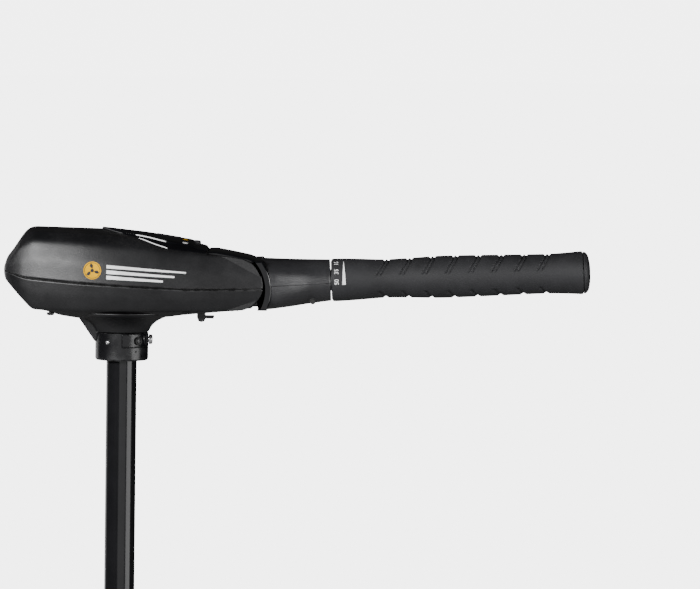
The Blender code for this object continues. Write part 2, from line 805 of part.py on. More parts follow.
def section_height(x, y):
    """The height of the cover's section at a station, between the middle and the shoulder."""
    width = at_x(WIDTH_LINE, x)
    top, shoulder = at_x(TOP_LINE, x), at_x(SHOULDER_LINE, x)
    heights = (top, max(top - 0.003, shoulder + 0.0002), shoulder)
    return float(np.interp(abs(y), (0.0, width * DECK_SHARE, width * SHOULDER_SHARE), heights))


def deck_height(x, y):
    """The height of the cover's outside, which runs straight from each station to the next."""
    return float(np.interp(x, STATIONS, [section_height(station, y) for station in STATIONS]))


def top_panel(frame, look):
    """The thin gloss panel let onto the deck, narrow at the rear and as wide as the head at the tiller."""
    rings = []
    for x, half in zip(*PANEL_LINE):
        half = min(half, at_x(WIDTH_LINE, x) * SHOULDER_SHARE - 0.0005)
        edge = min(half * 0.98, at_x(WIDTH_LINE, x) * DECK_SHARE)
        places = (-half, -edge, 0.0, edge, half)
        upper = [(x, y, deck_height(x, y) + 0.0020) for y in places]
        lower = [(x, y, deck_height(x, y) + 0.0008) for y in reversed(places)]
        rings.append(upper + lower)
    panel = loft("top_panel", rings, frame, look)
    cut(panel, plate("panel_cradle", cradle_outline(), -0.05, 0.05, frame))
    return cut(panel, rod("panel_hole", 0.0062, (BUTTON_X, 0, 0.09), (BUTTON_X, 0, 0.13), frame))


def head_fittings(frame, looks):
    """The collar, the fasteners, the button, the meter's window, the gland, the electronics, the pin."""
    collar = turned(
        "shaft_collar",
        [
            (COLLAR_RADIUS, COLLAR_HEIGHT),
            (COLLAR_RADIUS, 0.0010),
            (COLLAR_RADIUS - 0.0010, 0.0),
            (SHAFT_RADIUS + GAP, 0.0),
            (SHAFT_RADIUS + GAP, COLLAR_HEIGHT),
        ],
        frame,
        looks["collar"],
    )
    recess = block("plate_recess", (0.0, -0.030, 0.0118), (0.0240, -0.0196, 0.0240), frame)
    bolt_hole = rod("bolt_hole", 0.0030, (0.0, 0.0, 0.0183), (0.030, 0.0, 0.0183), frame)
    cut(collar, recess, bolt_hole)
    plate_low, plate_high = (0.0006, -0.0224, 0.0124), (0.0172, -0.0200, 0.0234)
    block("collar_plate", plate_low, plate_high, frame, looks["collar"], 0.0006)
    bolt = [(0.0, 0.0275), (0.0030, 0.0272), (0.0044, 0.0262), (0.0044, 0.0240), (0.0026, 0.0240)]
    bolt += [(0.0026, SHAFT_RADIUS + 0.0008), (0.0, SHAFT_RADIUS + 0.0008)]
    turned("collar_bolt", bolt, frame, looks["steel"], "X", (0.0, 0.0, 0.0183), 16)

    deck = deck_height(BUTTON_X, 0.0)
    button = [(0.0, deck + 0.0042), (0.0046, deck + 0.0040), (0.0056, deck + 0.0030), (0.0056, deck - 0.0060)]
    turned("meter_button", button + [(0.0, deck - 0.0060)], frame, looks["rubber"], at=(BUTTON_X, 0.0, 0.0))

    rings = []
    for x in (0.030, 0.041, 0.052):
        places = (-0.007, 0.0, 0.007)
        upper = [(x, y, deck_height(x, y) + 0.0031) for y in places]
        lower = [(x, y, deck_height(x, y) + 0.0022) for y in reversed(places)]
        rings.append(upper + lower)
    loft("meter_window", rings, frame, looks["lens"])

    gland = [(0.0058, 0.0470), (0.0058, 0.0380), (0.0090, 0.0380), (0.0090, 0.0300), (0.0070, 0.0270)]
    gland += [(0.0036, 0.0270), (0.0036, 0.0470)]
    turned("cable_gland", gland, frame, looks["rubber"], at=(0.0, GLAND_Y, 0.0))

    board = block("control_board", (-0.076, -0.034, 0.0655), (0.045, 0.034, 0.0671), frame, looks["board"])
    cut(board, rod("board_hole", 0.0215, (0, 0, 0.05), (0, 0, 0.08), frame))
    fins = [(-0.060, 0.0675), (-0.028, 0.0675)]
    for i in range(5):
        right = -0.028 - 0.0072 * i
        fins += [(right, 0.0900), (right - 0.0032, 0.0900)]
        if i < 4:
            fins += [(right - 0.0032, 0.0720), (right - 0.0072, 0.0720)]
    plate("heat_sink", fins, -0.024, 0.024, frame, looks["aluminium"])

    pin = [(0.0, 0.0373), (0.0040, 0.0373), (0.0040, -0.0373), (0.0, -0.0373)]
    turned("tiller_pin", pin, frame, looks["steel"], "Y", TILLER_PIVOT, 20)
    for i, (x, y) in enumerate(HOUSING_SCREWS):
        low, high = (0.0425, 0.0500) if x > 0 else (0.0405, 0.0600)
        seat = low + 0.0024
        screw = [(0.0, high), (0.0016, high), (0.0016, seat), (0.0034, seat), (0.0034, low), (0.0, low)]
        turned(f"housing_screw_{i + 1}", screw, frame, looks["steel"], at=(x, y, 0.0), sides=12)

    trigger = [
        (0.0668, 0.0468),
        (0.0668, 0.0390),
        (0.0680, 0.0356),
        (0.0705, 0.0345),
        (0.0732, 0.0352),
        (0.0746, 0.0378),
        (0.0815, 0.0378),
        (0.0820, 0.0392),
        (0.0815, 0.0402),
        (0.0742, 0.0402),
        (0.0735, 0.0468),
    ]
    lever = plate("tilt_release_lever", trigger, -0.0050, 0.0050, frame, looks["plastic"])
    pins = rod("trigger_pins", 0.0015, (0.0702, -0.0085, 0.0466), (0.0702, 0.0085, 0.0466), frame, sides=12)
    add(lever, pins)


# ---------------------------------------------------------------- the tiller

BARREL_RADIUS = 0.0354
BARREL_HALF = 0.0342
ARM_START_RADIUS = 0.0416
ARM_END = 0.0952
TUBE_START, TUBE_END = 0.060, 0.300
TUBE_RADIUS = 0.0095
GRIP_START = 0.0965
CORE_RADIUS = 0.0130
GRIP_LINE = (
    (0.0965, 0.0980, 0.1200, 0.1430, 0.1650, 0.1920, 0.2150, 0.2420, 0.2700, 0.2910, 0.3050, 0.3195),
    (0.0188, 0.0192, 0.0183, 0.0168, 0.0176, 0.0189, 0.0187, 0.0183, 0.0178, 0.0176, 0.0183, 0.0193),
)
ARM_STATIONS = (0.028, 0.045, 0.060, 0.075, 0.0952)
ARM_WIDTH = (0.0378, 0.0365, 0.0310, 0.0240, 0.0178)
ARM_TOP = (0.0276, 0.0260, 0.0245, 0.0230, 0.0213)
ARM_BOTTOM = (-0.0202, -0.0191, -0.0178, -0.0160, -0.0135)
ARM_SQUARENESS = (4.0, 3.6, 3.0, 2.4, 2.0)


def arm_ring(x, inset=0.0, points=20):
    """A superellipse that goes from a rounded box at the knuckle to a circle at the grip."""
    half_width = np.interp(x, ARM_STATIONS, ARM_WIDTH) - inset
    top = np.interp(x, ARM_STATIONS, ARM_TOP) - inset
    bottom = np.interp(x, ARM_STATIONS, ARM_BOTTOM) + inset
    power = 2.0 / np.interp(x, ARM_STATIONS, ARM_SQUARENESS)
    middle, half_height = (top + bottom) / 2, (top - bottom) / 2
    ring = []
    for i in range(points):
        angle = 2 * math.pi * (i + 0.5) / points
        c, s = math.cos(angle), math.sin(angle)
        y = half_width * math.copysign(abs(c) ** power, c)
        z = middle + half_height * math.copysign(abs(s) ** power, s)
        ring.append((x, y, z))
    return ring


def tiller_arm(frame, looks):
    """The knuckle that swings between the ears, and the two shells clamped round its tongue."""
    barrel = [(-0.0076, -0.0158)]
    barrel += arc((0, 0), ARM_START_RADIUS - FREE, -23, 40, 5)
    barrel += [(0.0078, 0.0318)]
    barrel += arc((0, 0), BARREL_RADIUS, 108, 159, 4)
    knuckle = plate("knuckle", barrel, -BARREL_HALF, BARREL_HALF, frame, looks["gloss"], rounded=0.0012)
    add(knuckle, block("tongue", (0.030, -0.024, -0.012), (0.052, 0.024, 0.018), frame))
    hollow = block("knuckle_hollow", (0.012, -0.020, -0.009), (0.060, 0.020, 0.0145), frame)
    pin_bore = rod("knuckle_bore", 0.0044, (0, -0.05, 0), (0, 0.05, 0), frame)
    cut(knuckle, hollow, pin_bore)

    for name, low, high in (("arm_upper_shell", GAP / 2, 0.05), ("arm_lower_shell", -0.05, -GAP / 2)):
        shell = loft(name, [arm_ring(x) for x in ARM_STATIONS], frame, looks["plastic"])
        inside = [0.0235, *ARM_STATIONS[1:-1], ARM_END + 0.004]
        hollow = loft(name + "_hollow", [arm_ring(x, WALL) for x in inside], frame)
        swing = rod(name + "_swing", ARM_START_RADIUS, (0, -0.06, 0), (0, 0.06, 0), frame, sides=48)
        half = block(name + "_half", (0.0, -0.06, low), (0.12, 0.06, high), frame)
        cut(shell, hollow, swing)
        keep_inside(shell, half)

    at = (0.0, 0.0, GRIP_AXIS_Z)
    bush = ring_profile(0.0134, TUBE_RADIUS + FREE, 0.0940, 0.0720)
    turned("tube_bush", bush, frame, looks["nylon"], "X", at)
    potentiometer = [(0.0, 0.0690), (0.0028, 0.0690), (0.0028, 0.0575), (0.0080, 0.0575)]
    potentiometer += [(0.0080, 0.0470), (0.0, 0.0470)]
    turned("potentiometer", potentiometer, frame, looks["steel"], "X", at, 20)


def tiller_tube(frame, look):
    """The keyed tube that the grip turns and slides along. Its near end is closed round the spindle."""
    profile = [
        (TUBE_RADIUS, TUBE_END),
        (TUBE_RADIUS, TUBE_START),
        (0.0033, TUBE_START),
        (0.0033, 0.0710),
        (0.0080, 0.0730),
        (0.0080, TUBE_END),
    ]
    return turned("tiller_tube", profile, frame, look, "X", (0.0, 0.0, GRIP_AXIS_Z))


def grip(frame, looks):
    """A hard core that slides on the tube, a soft sleeve over it, and the cap in its end."""
    at = (0.0, 0.0, GRIP_AXIS_Z)
    core = [
        (0.0, 0.3170),
        (CORE_RADIUS - GAP, 0.3170),
        (CORE_RADIUS - GAP, GRIP_START + 0.0030),
        (0.0172, GRIP_START + 0.0030),
        (0.0172, GRIP_START - 0.0007),
        (TUBE_RADIUS + FREE, GRIP_START - 0.0007),
        (TUBE_RADIUS + FREE, 0.3050),
        (0.0, 0.3050),
    ]
    turned("grip_core", core, frame, looks["plastic"], "X", at, 24)
    xs, radii = GRIP_LINE
    outer = list(zip(reversed(radii), reversed(xs)))
    inner = [
        (0.0175, GRIP_START),
        (0.0175, GRIP_START + 0.0033),
        (CORE_RADIUS, GRIP_START + 0.0033),
        (CORE_RADIUS, 0.3195),
    ]
    turned("grip_sleeve", outer + inner, frame, looks["rubber"], "X", at, 24)
    cap = [
        (0.0, 0.3263),
        (0.0090, 0.3255),
        (0.0155, 0.3235),
        (0.0185, 0.3212),
        (0.0188, 0.3198),
        (0.0125, 0.3198),
        (0.0125, 0.3173),
        (0.0, 0.3173),
    ]
    turned("grip_cap", cap, frame, looks["rubber"], "X", at, 24)


# ---------------------------------------------------------------- the motor pod

BRUSH_END_BACK = -0.030
PLAIN_END_FRONT = -0.150
AXLE_RADIUS = 0.005
SOCKET_RADIUS = 0.0205
SOCKET_HEIGHT = 0.070


def pod_housings(frame, looks):
    """The nose casting with the shaft's socket and the skeg, the magnet tube, and the tail casting."""
    nose = turned(
        "brush_end_housing",
        [
            (0.0, 0.105),
            (0.012, 0.1035),
            (0.024, 0.098),
            (0.034, 0.088),
            (0.0405, 0.074),
            (0.0445, 0.056),
            (POD_RADIUS, 0.036),
            (POD_RADIUS, BRUSH_END_BACK),
            (0.0, BRUSH_END_BACK),
        ],
        frame,
        looks["paint"],
        "X",
    )
    socket = turned(
        "shaft_socket",
        [
            (0.0, SOCKET_HEIGHT),
            (SOCKET_RADIUS - 0.0015, SOCKET_HEIGHT),
            (SOCKET_RADIUS, SOCKET_HEIGHT - 0.0015),
            (SOCKET_RADIUS + 0.0005, 0.056),
            (0.0230, 0.047),
            (0.0262, 0.0415),
            (0.0262, 0.036),
            (0.0, 0.036),
        ],
        frame,
    )
    skeg = [
        (0.030, -0.0405),
        (0.018, -0.062),
        (-0.004, -0.096),
        (-0.020, -0.118),
        (-0.030, -0.126),
        (-0.058, -0.128),
        (-0.066, -0.120),
        (-0.062, -0.100),
        (-0.050, -0.070),
        (-0.0285, -0.050),
        (-0.0285, -0.0405),
    ]
    add(nose, socket, plate("skeg", skeg, -0.0028, 0.0028, frame, rounded=0.0010))
    hollow = turned(
        "nose_hollow",
        [
            (0.0, 0.036),
            (0.0135, 0.036),
            (0.0135, 0.022),
            (0.0400, 0.018),
            (0.0400, BRUSH_END_BACK - 0.01),
            (0.0, BRUSH_END_BACK - 0.01),
        ],
        frame,
        None,
        "X",
    )
    bore = rod("socket_bore", SHAFT_RADIUS + GAP, (0, 0, SHAFT_IN_POD - GAP), (0, 0, 0.09), frame, sides=24)
    passage = rod("lead_passage", 0.0085, (0, 0, 0.025), (0, 0, 0.06), frame)
    cut(nose, hollow, bore, passage)

    turned(
        "centre_housing",
        ring_profile(POD_RADIUS, 0.0430, BRUSH_END_BACK - GAP, PLAIN_END_FRONT),
        frame,
        looks["paint"],
        "X",
    )
    turned(
        "plain_end_housing",
        [
            (POD_RADIUS, PLAIN_END_FRONT - GAP),
            (POD_RADIUS, -0.166),
            (0.0430, -0.178),
            (0.0360, -0.190),
            (0.0275, -0.199),
            (0.0235, -0.2045),
            (0.0100, -0.2045),
            (0.0100, -0.195),
            (0.0070, -0.195),
            (0.0070, -0.178),
            (0.0135, -0.178),
            (0.0135, -0.166),
            (0.0400, -0.162),
            (0.0400, PLAIN_END_FRONT - GAP),
        ],
        frame,
        looks["paint"],
        "X",
    )


def magnet(name, middle, frame, look):
    """A ferrite arc that lies against the inside of the magnet tube."""
    outline = arc((0, 0), 0.0424, middle - 62, middle + 62, 10)
    outline += arc((0, 0), 0.0350, middle + 62, middle - 62, 10)
    return plate(name, outline, -0.135, -0.045, frame, look, across="X")


def pod_insides(frame, looks):
    magnet("magnet_upper", 90, frame, looks["ferrite"])
    magnet("magnet_lower", 270, frame, looks["ferrite"])
    disc = ring_profile(0.0392, 0.0185, -0.0010, -0.0035)
    brushes = turned("brush_plate", disc, frame, looks["nylon"], "X")
    for side in (-1, 1):
        low, high = sorted((side * 0.0172, side * 0.0340))
        add(brushes, block(f"brush_holder_{side}", (-0.0020, low, -0.006), (0.0080, high, 0.006), frame))
    bearing = ring_profile(0.0131, AXLE_RADIUS + GAP, 0.0345, 0.0250)
    turned("front_bearing", bearing, frame, looks["steel"], "X", sides=16)
    bearing = ring_profile(0.0131, AXLE_RADIUS + GAP, -0.1668, -0.1770)
    turned("rear_bearing", bearing, frame, looks["steel"], "X", sides=16)
    seal = ring_profile(0.0096, AXLE_RADIUS + GAP, -0.1955, -0.2040)
    turned("shaft_seal", seal, frame, looks["rubber"], "X", sides=16)


def blade_ring(radius, centre_x, chord, pitch, thickness):
    """A lens-shaped blade section across the blade's length, which runs along +Z."""
    ring = []
    for i in range(8):
        angle = 2 * math.pi * i / 8
        along, through = chord / 2 * math.cos(angle), thickness / 2 * math.sin(angle)
        x = along * math.cos(pitch) - through * math.sin(pitch)
        y = along * math.sin(pitch) + through * math.cos(pitch)
        ring.append((centre_x + x, y, radius))
    return ring


PROP_FRONT, PROP_BACK = -0.2065, -0.2560
PROP_TURN = math.radians(24.0)


def rotor(frame, looks):
    """Everything that spins: the axle, the armature, the commutator, the propeller, its pin and nut."""
    axle = turned(
        "armature_axle",
        [
            (0.0, 0.0340),
            (AXLE_RADIUS, 0.0330),
            (AXLE_RADIUS, PROP_BACK - 0.0120),
            (AXLE_RADIUS - 0.001, PROP_BACK - 0.0130),
            (0.0, PROP_BACK - 0.0130),
        ],
        frame,
        looks["steel"],
        "X",
        sides=24,
    )
    pin_x = PROP_FRONT - 0.0045
    cut(axle, rod("axle_cross_hole", 0.0024, (pin_x, 0, -0.02), (pin_x, 0, 0.02), frame))
    rod("drive_pin", 0.0021, (pin_x, 0, -0.0130), (pin_x, 0, 0.0130), frame, looks["steel"], sides=12)
    bore = AXLE_RADIUS + GAP
    windings = [(0.020, -0.0320), (0.026, -0.0360), (0.027, -0.0480), (0.0330, -0.0500), (0.0330, -0.1300)]
    windings += [(0.027, -0.1320), (0.026, -0.1430), (0.020, -0.1460), (bore, -0.1460), (bore, -0.0320)]
    turned("armature", windings, frame, looks["copper"], "X")
    turned("commutator", ring_profile(0.0160, bore, 0.0140, -0.0280), frame, looks["copper"], "X", sides=16)

    hub = turned(
        "propeller",
        [
            (0.0205, PROP_FRONT),
            (0.0215, PROP_FRONT - 0.006),
            (0.0205, PROP_FRONT - 0.028),
            (0.0165, PROP_BACK),
            (bore, PROP_BACK),
            (bore, PROP_FRONT),
        ],
        frame,
        looks["plastic"],
        "X",
        sides=24,
    )
    sections = (
        (0.0140, -0.2300, 0.0360, 62, 0.0060),
        (0.0300, -0.2310, 0.0470, 52, 0.0050),
        (0.0550, -0.2330, 0.0600, 40, 0.0042),
        (0.0800, -0.2370, 0.0640, 31, 0.0036),
        (0.1030, -0.2430, 0.0540, 26, 0.0030),
        (0.1190, -0.2490, 0.0340, 23, 0.0024),
        (PROPELLER_RADIUS, -0.2530, 0.0120, 21, 0.0018),
    )
    for i in range(2):
        rings = [blade_ring(r, x, chord, math.radians(pitch), t) for r, x, chord, pitch, t in sections]
        blade = loft(f"blade_{i + 1}", rings, frame)
        blade.data.transform(Matrix.Rotation(PROP_TURN + math.pi * i, 4, "X"))
        add(hub, blade)
    slot = block("pin_slot", (pin_x - 0.0027, -0.0027, -0.0150), (PROP_FRONT + 0.002, 0.0027, 0.0150), frame)
    cut(hub, slot)
    nut = [
        (0.0075, PROP_BACK - GAP),
        (0.0105, PROP_BACK - 0.0030),
        (0.0100, PROP_BACK - 0.0100),
        (bore, PROP_BACK - 0.0100),
        (bore, PROP_BACK - GAP),
    ]
    turned("prop_nut", nut, frame, looks["nylon"], "X", sides=12)


def motor_leads(head, look_red, look_black):
    """The two wires from the control board down inside the shaft to the brush plate."""
    bottom = POD_Z - HEAD_Z
    for name, y, look in (("lead_red", 0.0035, look_red), ("lead_black", -0.0035, look_black)):
        route = [(0.0, y, 0.062), (0.0, y, 0.040)]
        route += [(0.0, y, 0.040 + (bottom + 0.056 - 0.040) * i / 6) for i in range(1, 7)]
        route += [(0.0040, y * 1.1, bottom + 0.040), (0.0040, y * 1.2, bottom + 0.0265)]
        tube(name, route, 0.0018, head, look)


# ---------------------------------------------------------------- the whole motor


def build():
    global PARTS, CUTTERS
    clear_scene()
    PARTS = collection("trolling_motor")
    CUTTERS = collection("cutters")

    looks = {
        "plastic": material("matte_black_plastic", (0.022, 0.022, 0.024), 0.50),
        "gloss": material("gloss_black_plastic", (0.008, 0.008, 0.009), 0.12),
        "collar": material("collar_black", (0.016, 0.016, 0.017), 0.42),
        "composite": material("shaft_composite", (0.012, 0.012, 0.013), 0.22),
        "rubber": material("grip_rubber", (0.028, 0.028, 0.030), 0.62),
        "nylon": material("nylon", (0.045, 0.045, 0.048), 0.45),
        "paint": material("pod_paint", (0.014, 0.014, 0.016), 0.30),
        "cast": material("bracket_casting", (0.020, 0.020, 0.022), 0.48),
        "steel": material("stainless_steel", (0.62, 0.62, 0.63), 0.25, 1.0),
        "aluminium": material("aluminium", (0.74, 0.74, 0.75), 0.35, 1.0),
        "copper": material("copper", (0.72, 0.36, 0.20), 0.35, 1.0),
        "ferrite": material("ferrite", (0.06, 0.06, 0.065), 0.60),
        "board": material("circuit_board", (0.02, 0.16, 0.06), 0.40),
        "lens": material("meter_lens", (0.03, 0.03, 0.03), 0.05),
        "red": material("wire_red", (0.55, 0.02, 0.02), 0.45),
        "black": material("wire_black", (0.015, 0.015, 0.015), 0.45),
    }

    bracket = frame_at("bracket_frame", (0.0, 0.0, 0.0))
    head = frame_at("head_frame", (SHAFT_X, 0.0, HEAD_Z))
    tiller = frame_at("tiller_frame", Vector((SHAFT_X, 0.0, HEAD_Z)) + TILLER_PIVOT, -TILLER_RISE)
    pod = frame_at("pod_frame", (SHAFT_X, 0.0, POD_Z))

    clamp_bracket(bracket, looks["cast"])
    lock_quadrant(bracket, looks["steel"])
    hinge_pin(bracket, looks["steel"])
    clamp_screws(bracket, looks["steel"], looks["nylon"])

    swivel_yoke(bracket, looks["cast"])
    steering_bushes(bracket, looks["nylon"])
    release_lever(bracket, looks["nylon"])
    lobed_knob("tension_knob", (SHAFT_X, -0.0385, TENSION_Z), -0.0143, looks["nylon"], bracket)
    depth_collar(bracket, looks["cast"])
    lobed_knob("collar_knob", (SHAFT_X, -0.0405, COLLAR_MID), -0.0143, looks["nylon"], bracket)

    shaft_ends = ring_profile(SHAFT_RADIUS, 0.0105, SHAFT_IN_HEAD, SHAFT_IN_HEAD - SHAFT_LENGTH)
    turned("shaft", shaft_ends, head, looks["composite"])
    head_shells(head, looks["plastic"])
    top_panel(head, looks["gloss"])
    head_fittings(head, looks)
    motor_leads(head, looks["red"], looks["black"])

    tiller_arm(tiller, looks)
    tiller_tube(tiller, looks["aluminium"])
    grip(tiller, looks)

    pod_housings(pod, looks)
    pod_insides(pod, looks)
    rotor(pod, looks)


build()
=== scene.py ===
# %% [markdown]
# # An electric trolling motor, finished for a studio view
#
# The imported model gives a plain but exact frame: every joint, hole and size is in it. These cells put
# finished surfaces over that frame. Each surface is a formula worked out with numpy on a grid, so its
# shape can be changed by changing one line of numbers.

import json
import math

import bmesh
import bpy
import numpy as np
from mathutils import Matrix, Vector

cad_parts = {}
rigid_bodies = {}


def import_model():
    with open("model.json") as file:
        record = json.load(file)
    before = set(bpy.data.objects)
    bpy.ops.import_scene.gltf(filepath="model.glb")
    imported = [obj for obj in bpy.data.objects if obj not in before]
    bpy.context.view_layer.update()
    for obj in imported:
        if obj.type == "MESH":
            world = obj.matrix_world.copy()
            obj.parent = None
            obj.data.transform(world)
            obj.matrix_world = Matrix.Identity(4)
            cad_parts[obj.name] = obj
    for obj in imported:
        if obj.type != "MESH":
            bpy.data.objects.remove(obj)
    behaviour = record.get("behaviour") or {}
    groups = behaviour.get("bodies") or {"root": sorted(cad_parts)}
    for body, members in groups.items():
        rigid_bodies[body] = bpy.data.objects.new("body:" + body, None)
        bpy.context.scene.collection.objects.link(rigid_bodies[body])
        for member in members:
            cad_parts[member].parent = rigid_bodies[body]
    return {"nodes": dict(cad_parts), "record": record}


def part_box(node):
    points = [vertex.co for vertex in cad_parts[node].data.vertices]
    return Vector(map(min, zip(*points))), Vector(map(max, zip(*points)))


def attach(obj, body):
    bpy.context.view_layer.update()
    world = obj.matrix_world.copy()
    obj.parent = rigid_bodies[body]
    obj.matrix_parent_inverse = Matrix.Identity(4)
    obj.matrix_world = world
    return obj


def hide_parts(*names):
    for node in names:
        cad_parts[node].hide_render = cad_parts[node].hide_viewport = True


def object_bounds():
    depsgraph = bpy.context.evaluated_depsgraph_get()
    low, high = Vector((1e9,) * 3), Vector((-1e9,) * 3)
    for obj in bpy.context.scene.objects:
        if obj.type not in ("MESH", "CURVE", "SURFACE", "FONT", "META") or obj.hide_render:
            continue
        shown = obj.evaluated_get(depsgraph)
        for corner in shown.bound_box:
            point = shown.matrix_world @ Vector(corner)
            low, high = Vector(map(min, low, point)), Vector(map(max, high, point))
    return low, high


for leftover in list(bpy.data.objects):
    bpy.data.objects.remove(leftover)
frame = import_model()
cad_low, cad_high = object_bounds()

# %% [markdown]
# ## Where things are
#
# The head is drawn from the lower edge of the collar, on the shaft's axis. The tiller is drawn from its
# tilt pin, along its own axis, which rises a little. Both places come from the frame, so a new frame
# moves the surfaces with it.

# %% Places taken from the frame
JOINTS = {joint["name"]: joint for joint in frame["record"]["behaviour"]["joints"]}


def middle(node):
    low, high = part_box(node)
    return (np.array(low) + np.array(high)) / 2


SHAFT_LOW, SHAFT_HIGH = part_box("shaft")
HEAD = np.array([middle("shaft")[0], 0.0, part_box("shaft_collar")[0][2]])
PIVOT = np.array(JOINTS["tiller_tilt"]["pos_m"])
ALONG = np.array(JOINTS["grip_extend"]["axis"])
ALONG = ALONG / np.linalg.norm(ALONG)
UP = np.array([-ALONG[2], 0.0, ALONG[0]])
HINGE = np.array(JOINTS["bracket_tilt"]["pos_m"])
MOTOR = np.array([HEAD[0], 0.0, middle("armature_axle")[2]])
print("head at", HEAD.round(4), "tiller pivot at", PIVOT.round(4), "motor axis at", MOTOR.round(4))


def in_head(points):
    return points + HEAD


def in_tiller(points):
    """Points (along, across, up) from the tilt pin, put into the frame: pivot + u*along + y*Y + v*up."""
    return PIVOT + points[..., :1] * ALONG + points[..., 1:2] * np.array([0.0, 1.0, 0.0]) + points[..., 2:] * UP


def in_motor(points):
    return points + MOTOR


# %% [markdown]
# ## Grids of points
#
# A surface is a grid: its rows and columns are two parameters, and each crossing is a point. The quads
# between crossings follow from the numbering alone. Solids of revolution, slabs and blades are all grids
# whose ends are closed.


# %% Turn grids into meshes
def grid_quads(rows, columns, closed_rows=False, closed_columns=False):
    """The corners of every quad of a grid numbered row by row, worked out as whole arrays."""
    r = np.arange(rows if closed_rows else rows - 1)[:, None]
    c = np.arange(columns if closed_columns else columns - 1)[None, :]
    r2, c2 = (r + 1) % rows, (c + 1) % columns
    corners = [r * columns + c, r * columns + c2, r2 * columns + c2, r2 * columns + c]
    return np.stack([np.broadcast_to(k, (r.size, c.size)) for k in corners], axis=-1).reshape(-1, 4)


def face_away(bm, inside):
    """Recalculated normals of an open skin may all point in, so they are compared with a point inside."""
    lean = sum(face.normal.dot(face.calc_center_median() - inside) * face.calc_area() for face in bm.faces)
    if lean < 0:
        bmesh.ops.reverse_faces(bm, faces=bm.faces)


MERGE = 0.000002


def piece(name, parts, sharp=40.0, merge=MERGE, inside=None):
    """One mesh from several (points, faces) parts. Doubles are merged, so poles and seams close."""
    points, faces, start = [], [], 0
    for part_points, part_faces in parts:
        flat = np.asarray(part_points, dtype=float).reshape(-1, 3)
        points.append(flat)
        faces += [[int(i) + start for i in face] for face in part_faces]
        start += len(flat)
    mesh = bpy.data.meshes.new(name)
    mesh.from_pydata(np.concatenate(points).tolist(), [], faces)
    bm = bmesh.new()
    bm.from_mesh(mesh)
    bmesh.ops.remove_doubles(bm, verts=bm.verts, dist=merge)
    bmesh.ops.dissolve_degenerate(bm, edges=bm.edges, dist=merge)
    bmesh.ops.recalc_face_normals(bm, faces=bm.faces)
    if inside is not None:
        face_away(bm, Vector(inside))
    bm.to_mesh(mesh)
    bm.free()
    mesh.shade_smooth()
    mesh.set_sharp_from_angle(angle=math.radians(sharp))
    obj = bpy.data.objects.new(name, mesh)
    bpy.context.scene.collection.objects.link(obj)
    return obj


def finish_piece(obj, body, look, *nodes):
    """Gives a piece its material and its body, and hides the plain nodes that it stands for."""
    obj.data.materials.clear()
    obj.data.materials.append(look)
    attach(obj, body)
    "slot" in look
    if nodes:
        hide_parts(*nodes)
    print(f"{obj.name}: {len(obj.data.polygons)} faces on {body}")
    return obj


# %% Rounded paths, lathes and slabs
def rounded(path, radius, steps=5, closed=False):
    """Each corner B of a path becomes a curve that leaves and joins its sides at `radius` from it, or
    at under half of a short side: (1-t)^2 A + 2t(1-t) B + t^2 C for t from 0 to 1."""
    path = np.asarray(path, dtype=float)
    radius = np.broadcast_to(radius, len(path))[:, None]
    before, after = np.roll(path, 1, axis=0), np.roll(path, -1, axis=0)
    back, ahead = before - path, after - path
    back_length = np.linalg.norm(back, axis=1, keepdims=True)
    ahead_length = np.linalg.norm(ahead, axis=1, keepdims=True)
    a = path + back / back_length * np.minimum(radius, 0.45 * back_length)
    c = path + ahead / ahead_length * np.minimum(radius, 0.45 * ahead_length)
    t = np.linspace(0, 1, steps)[None, :, None]
    curves = (1 - t) ** 2 * a[:, None] + 2 * t * (1 - t) * path[:, None] + t**2 * c[:, None]
    if closed:
        return curves.reshape(-1, path.shape[1])
    return np.concatenate([path[:1], curves[1:-1].reshape(-1, path.shape[1]), path[-1:]])


def turn_axis(points, axis):
    """Points made round Z, laid along X or Y instead: (x, y, z) becomes (z, x, y) or (y, z, x)."""
    order = {"Z": (0, 1, 2), "X": (2, 0, 1), "Y": (1, 2, 0)}[axis]
    return points[..., order]


def lathe(profile, axis="Z", at=(0.0, 0.0, 0.0), sides=96, radius=0.0, ring=False, shape=None):
    """A (radius, height) profile swept once round the axis: (r cos a, r sin a, h). shape(a, r, h) may
    change the radius as the angle goes round, for lobes, flats and flutes."""
    profile = rounded(profile, radius, closed=ring) if radius else np.asarray(profile, dtype=float)
    angle = np.linspace(0, 2 * np.pi, sides, endpoint=False)[:, None]
    r, h = profile[None, :, 0], profile[None, :, 1]
    if shape:
        r = shape(angle, r, h)
    points = np.stack([r * np.cos(angle), r * np.sin(angle), np.broadcast_to(h, (sides, profile.shape[0]))], -1)
    return turn_axis(points, axis) + np.array(at), grid_quads(sides, len(profile), True, ring)


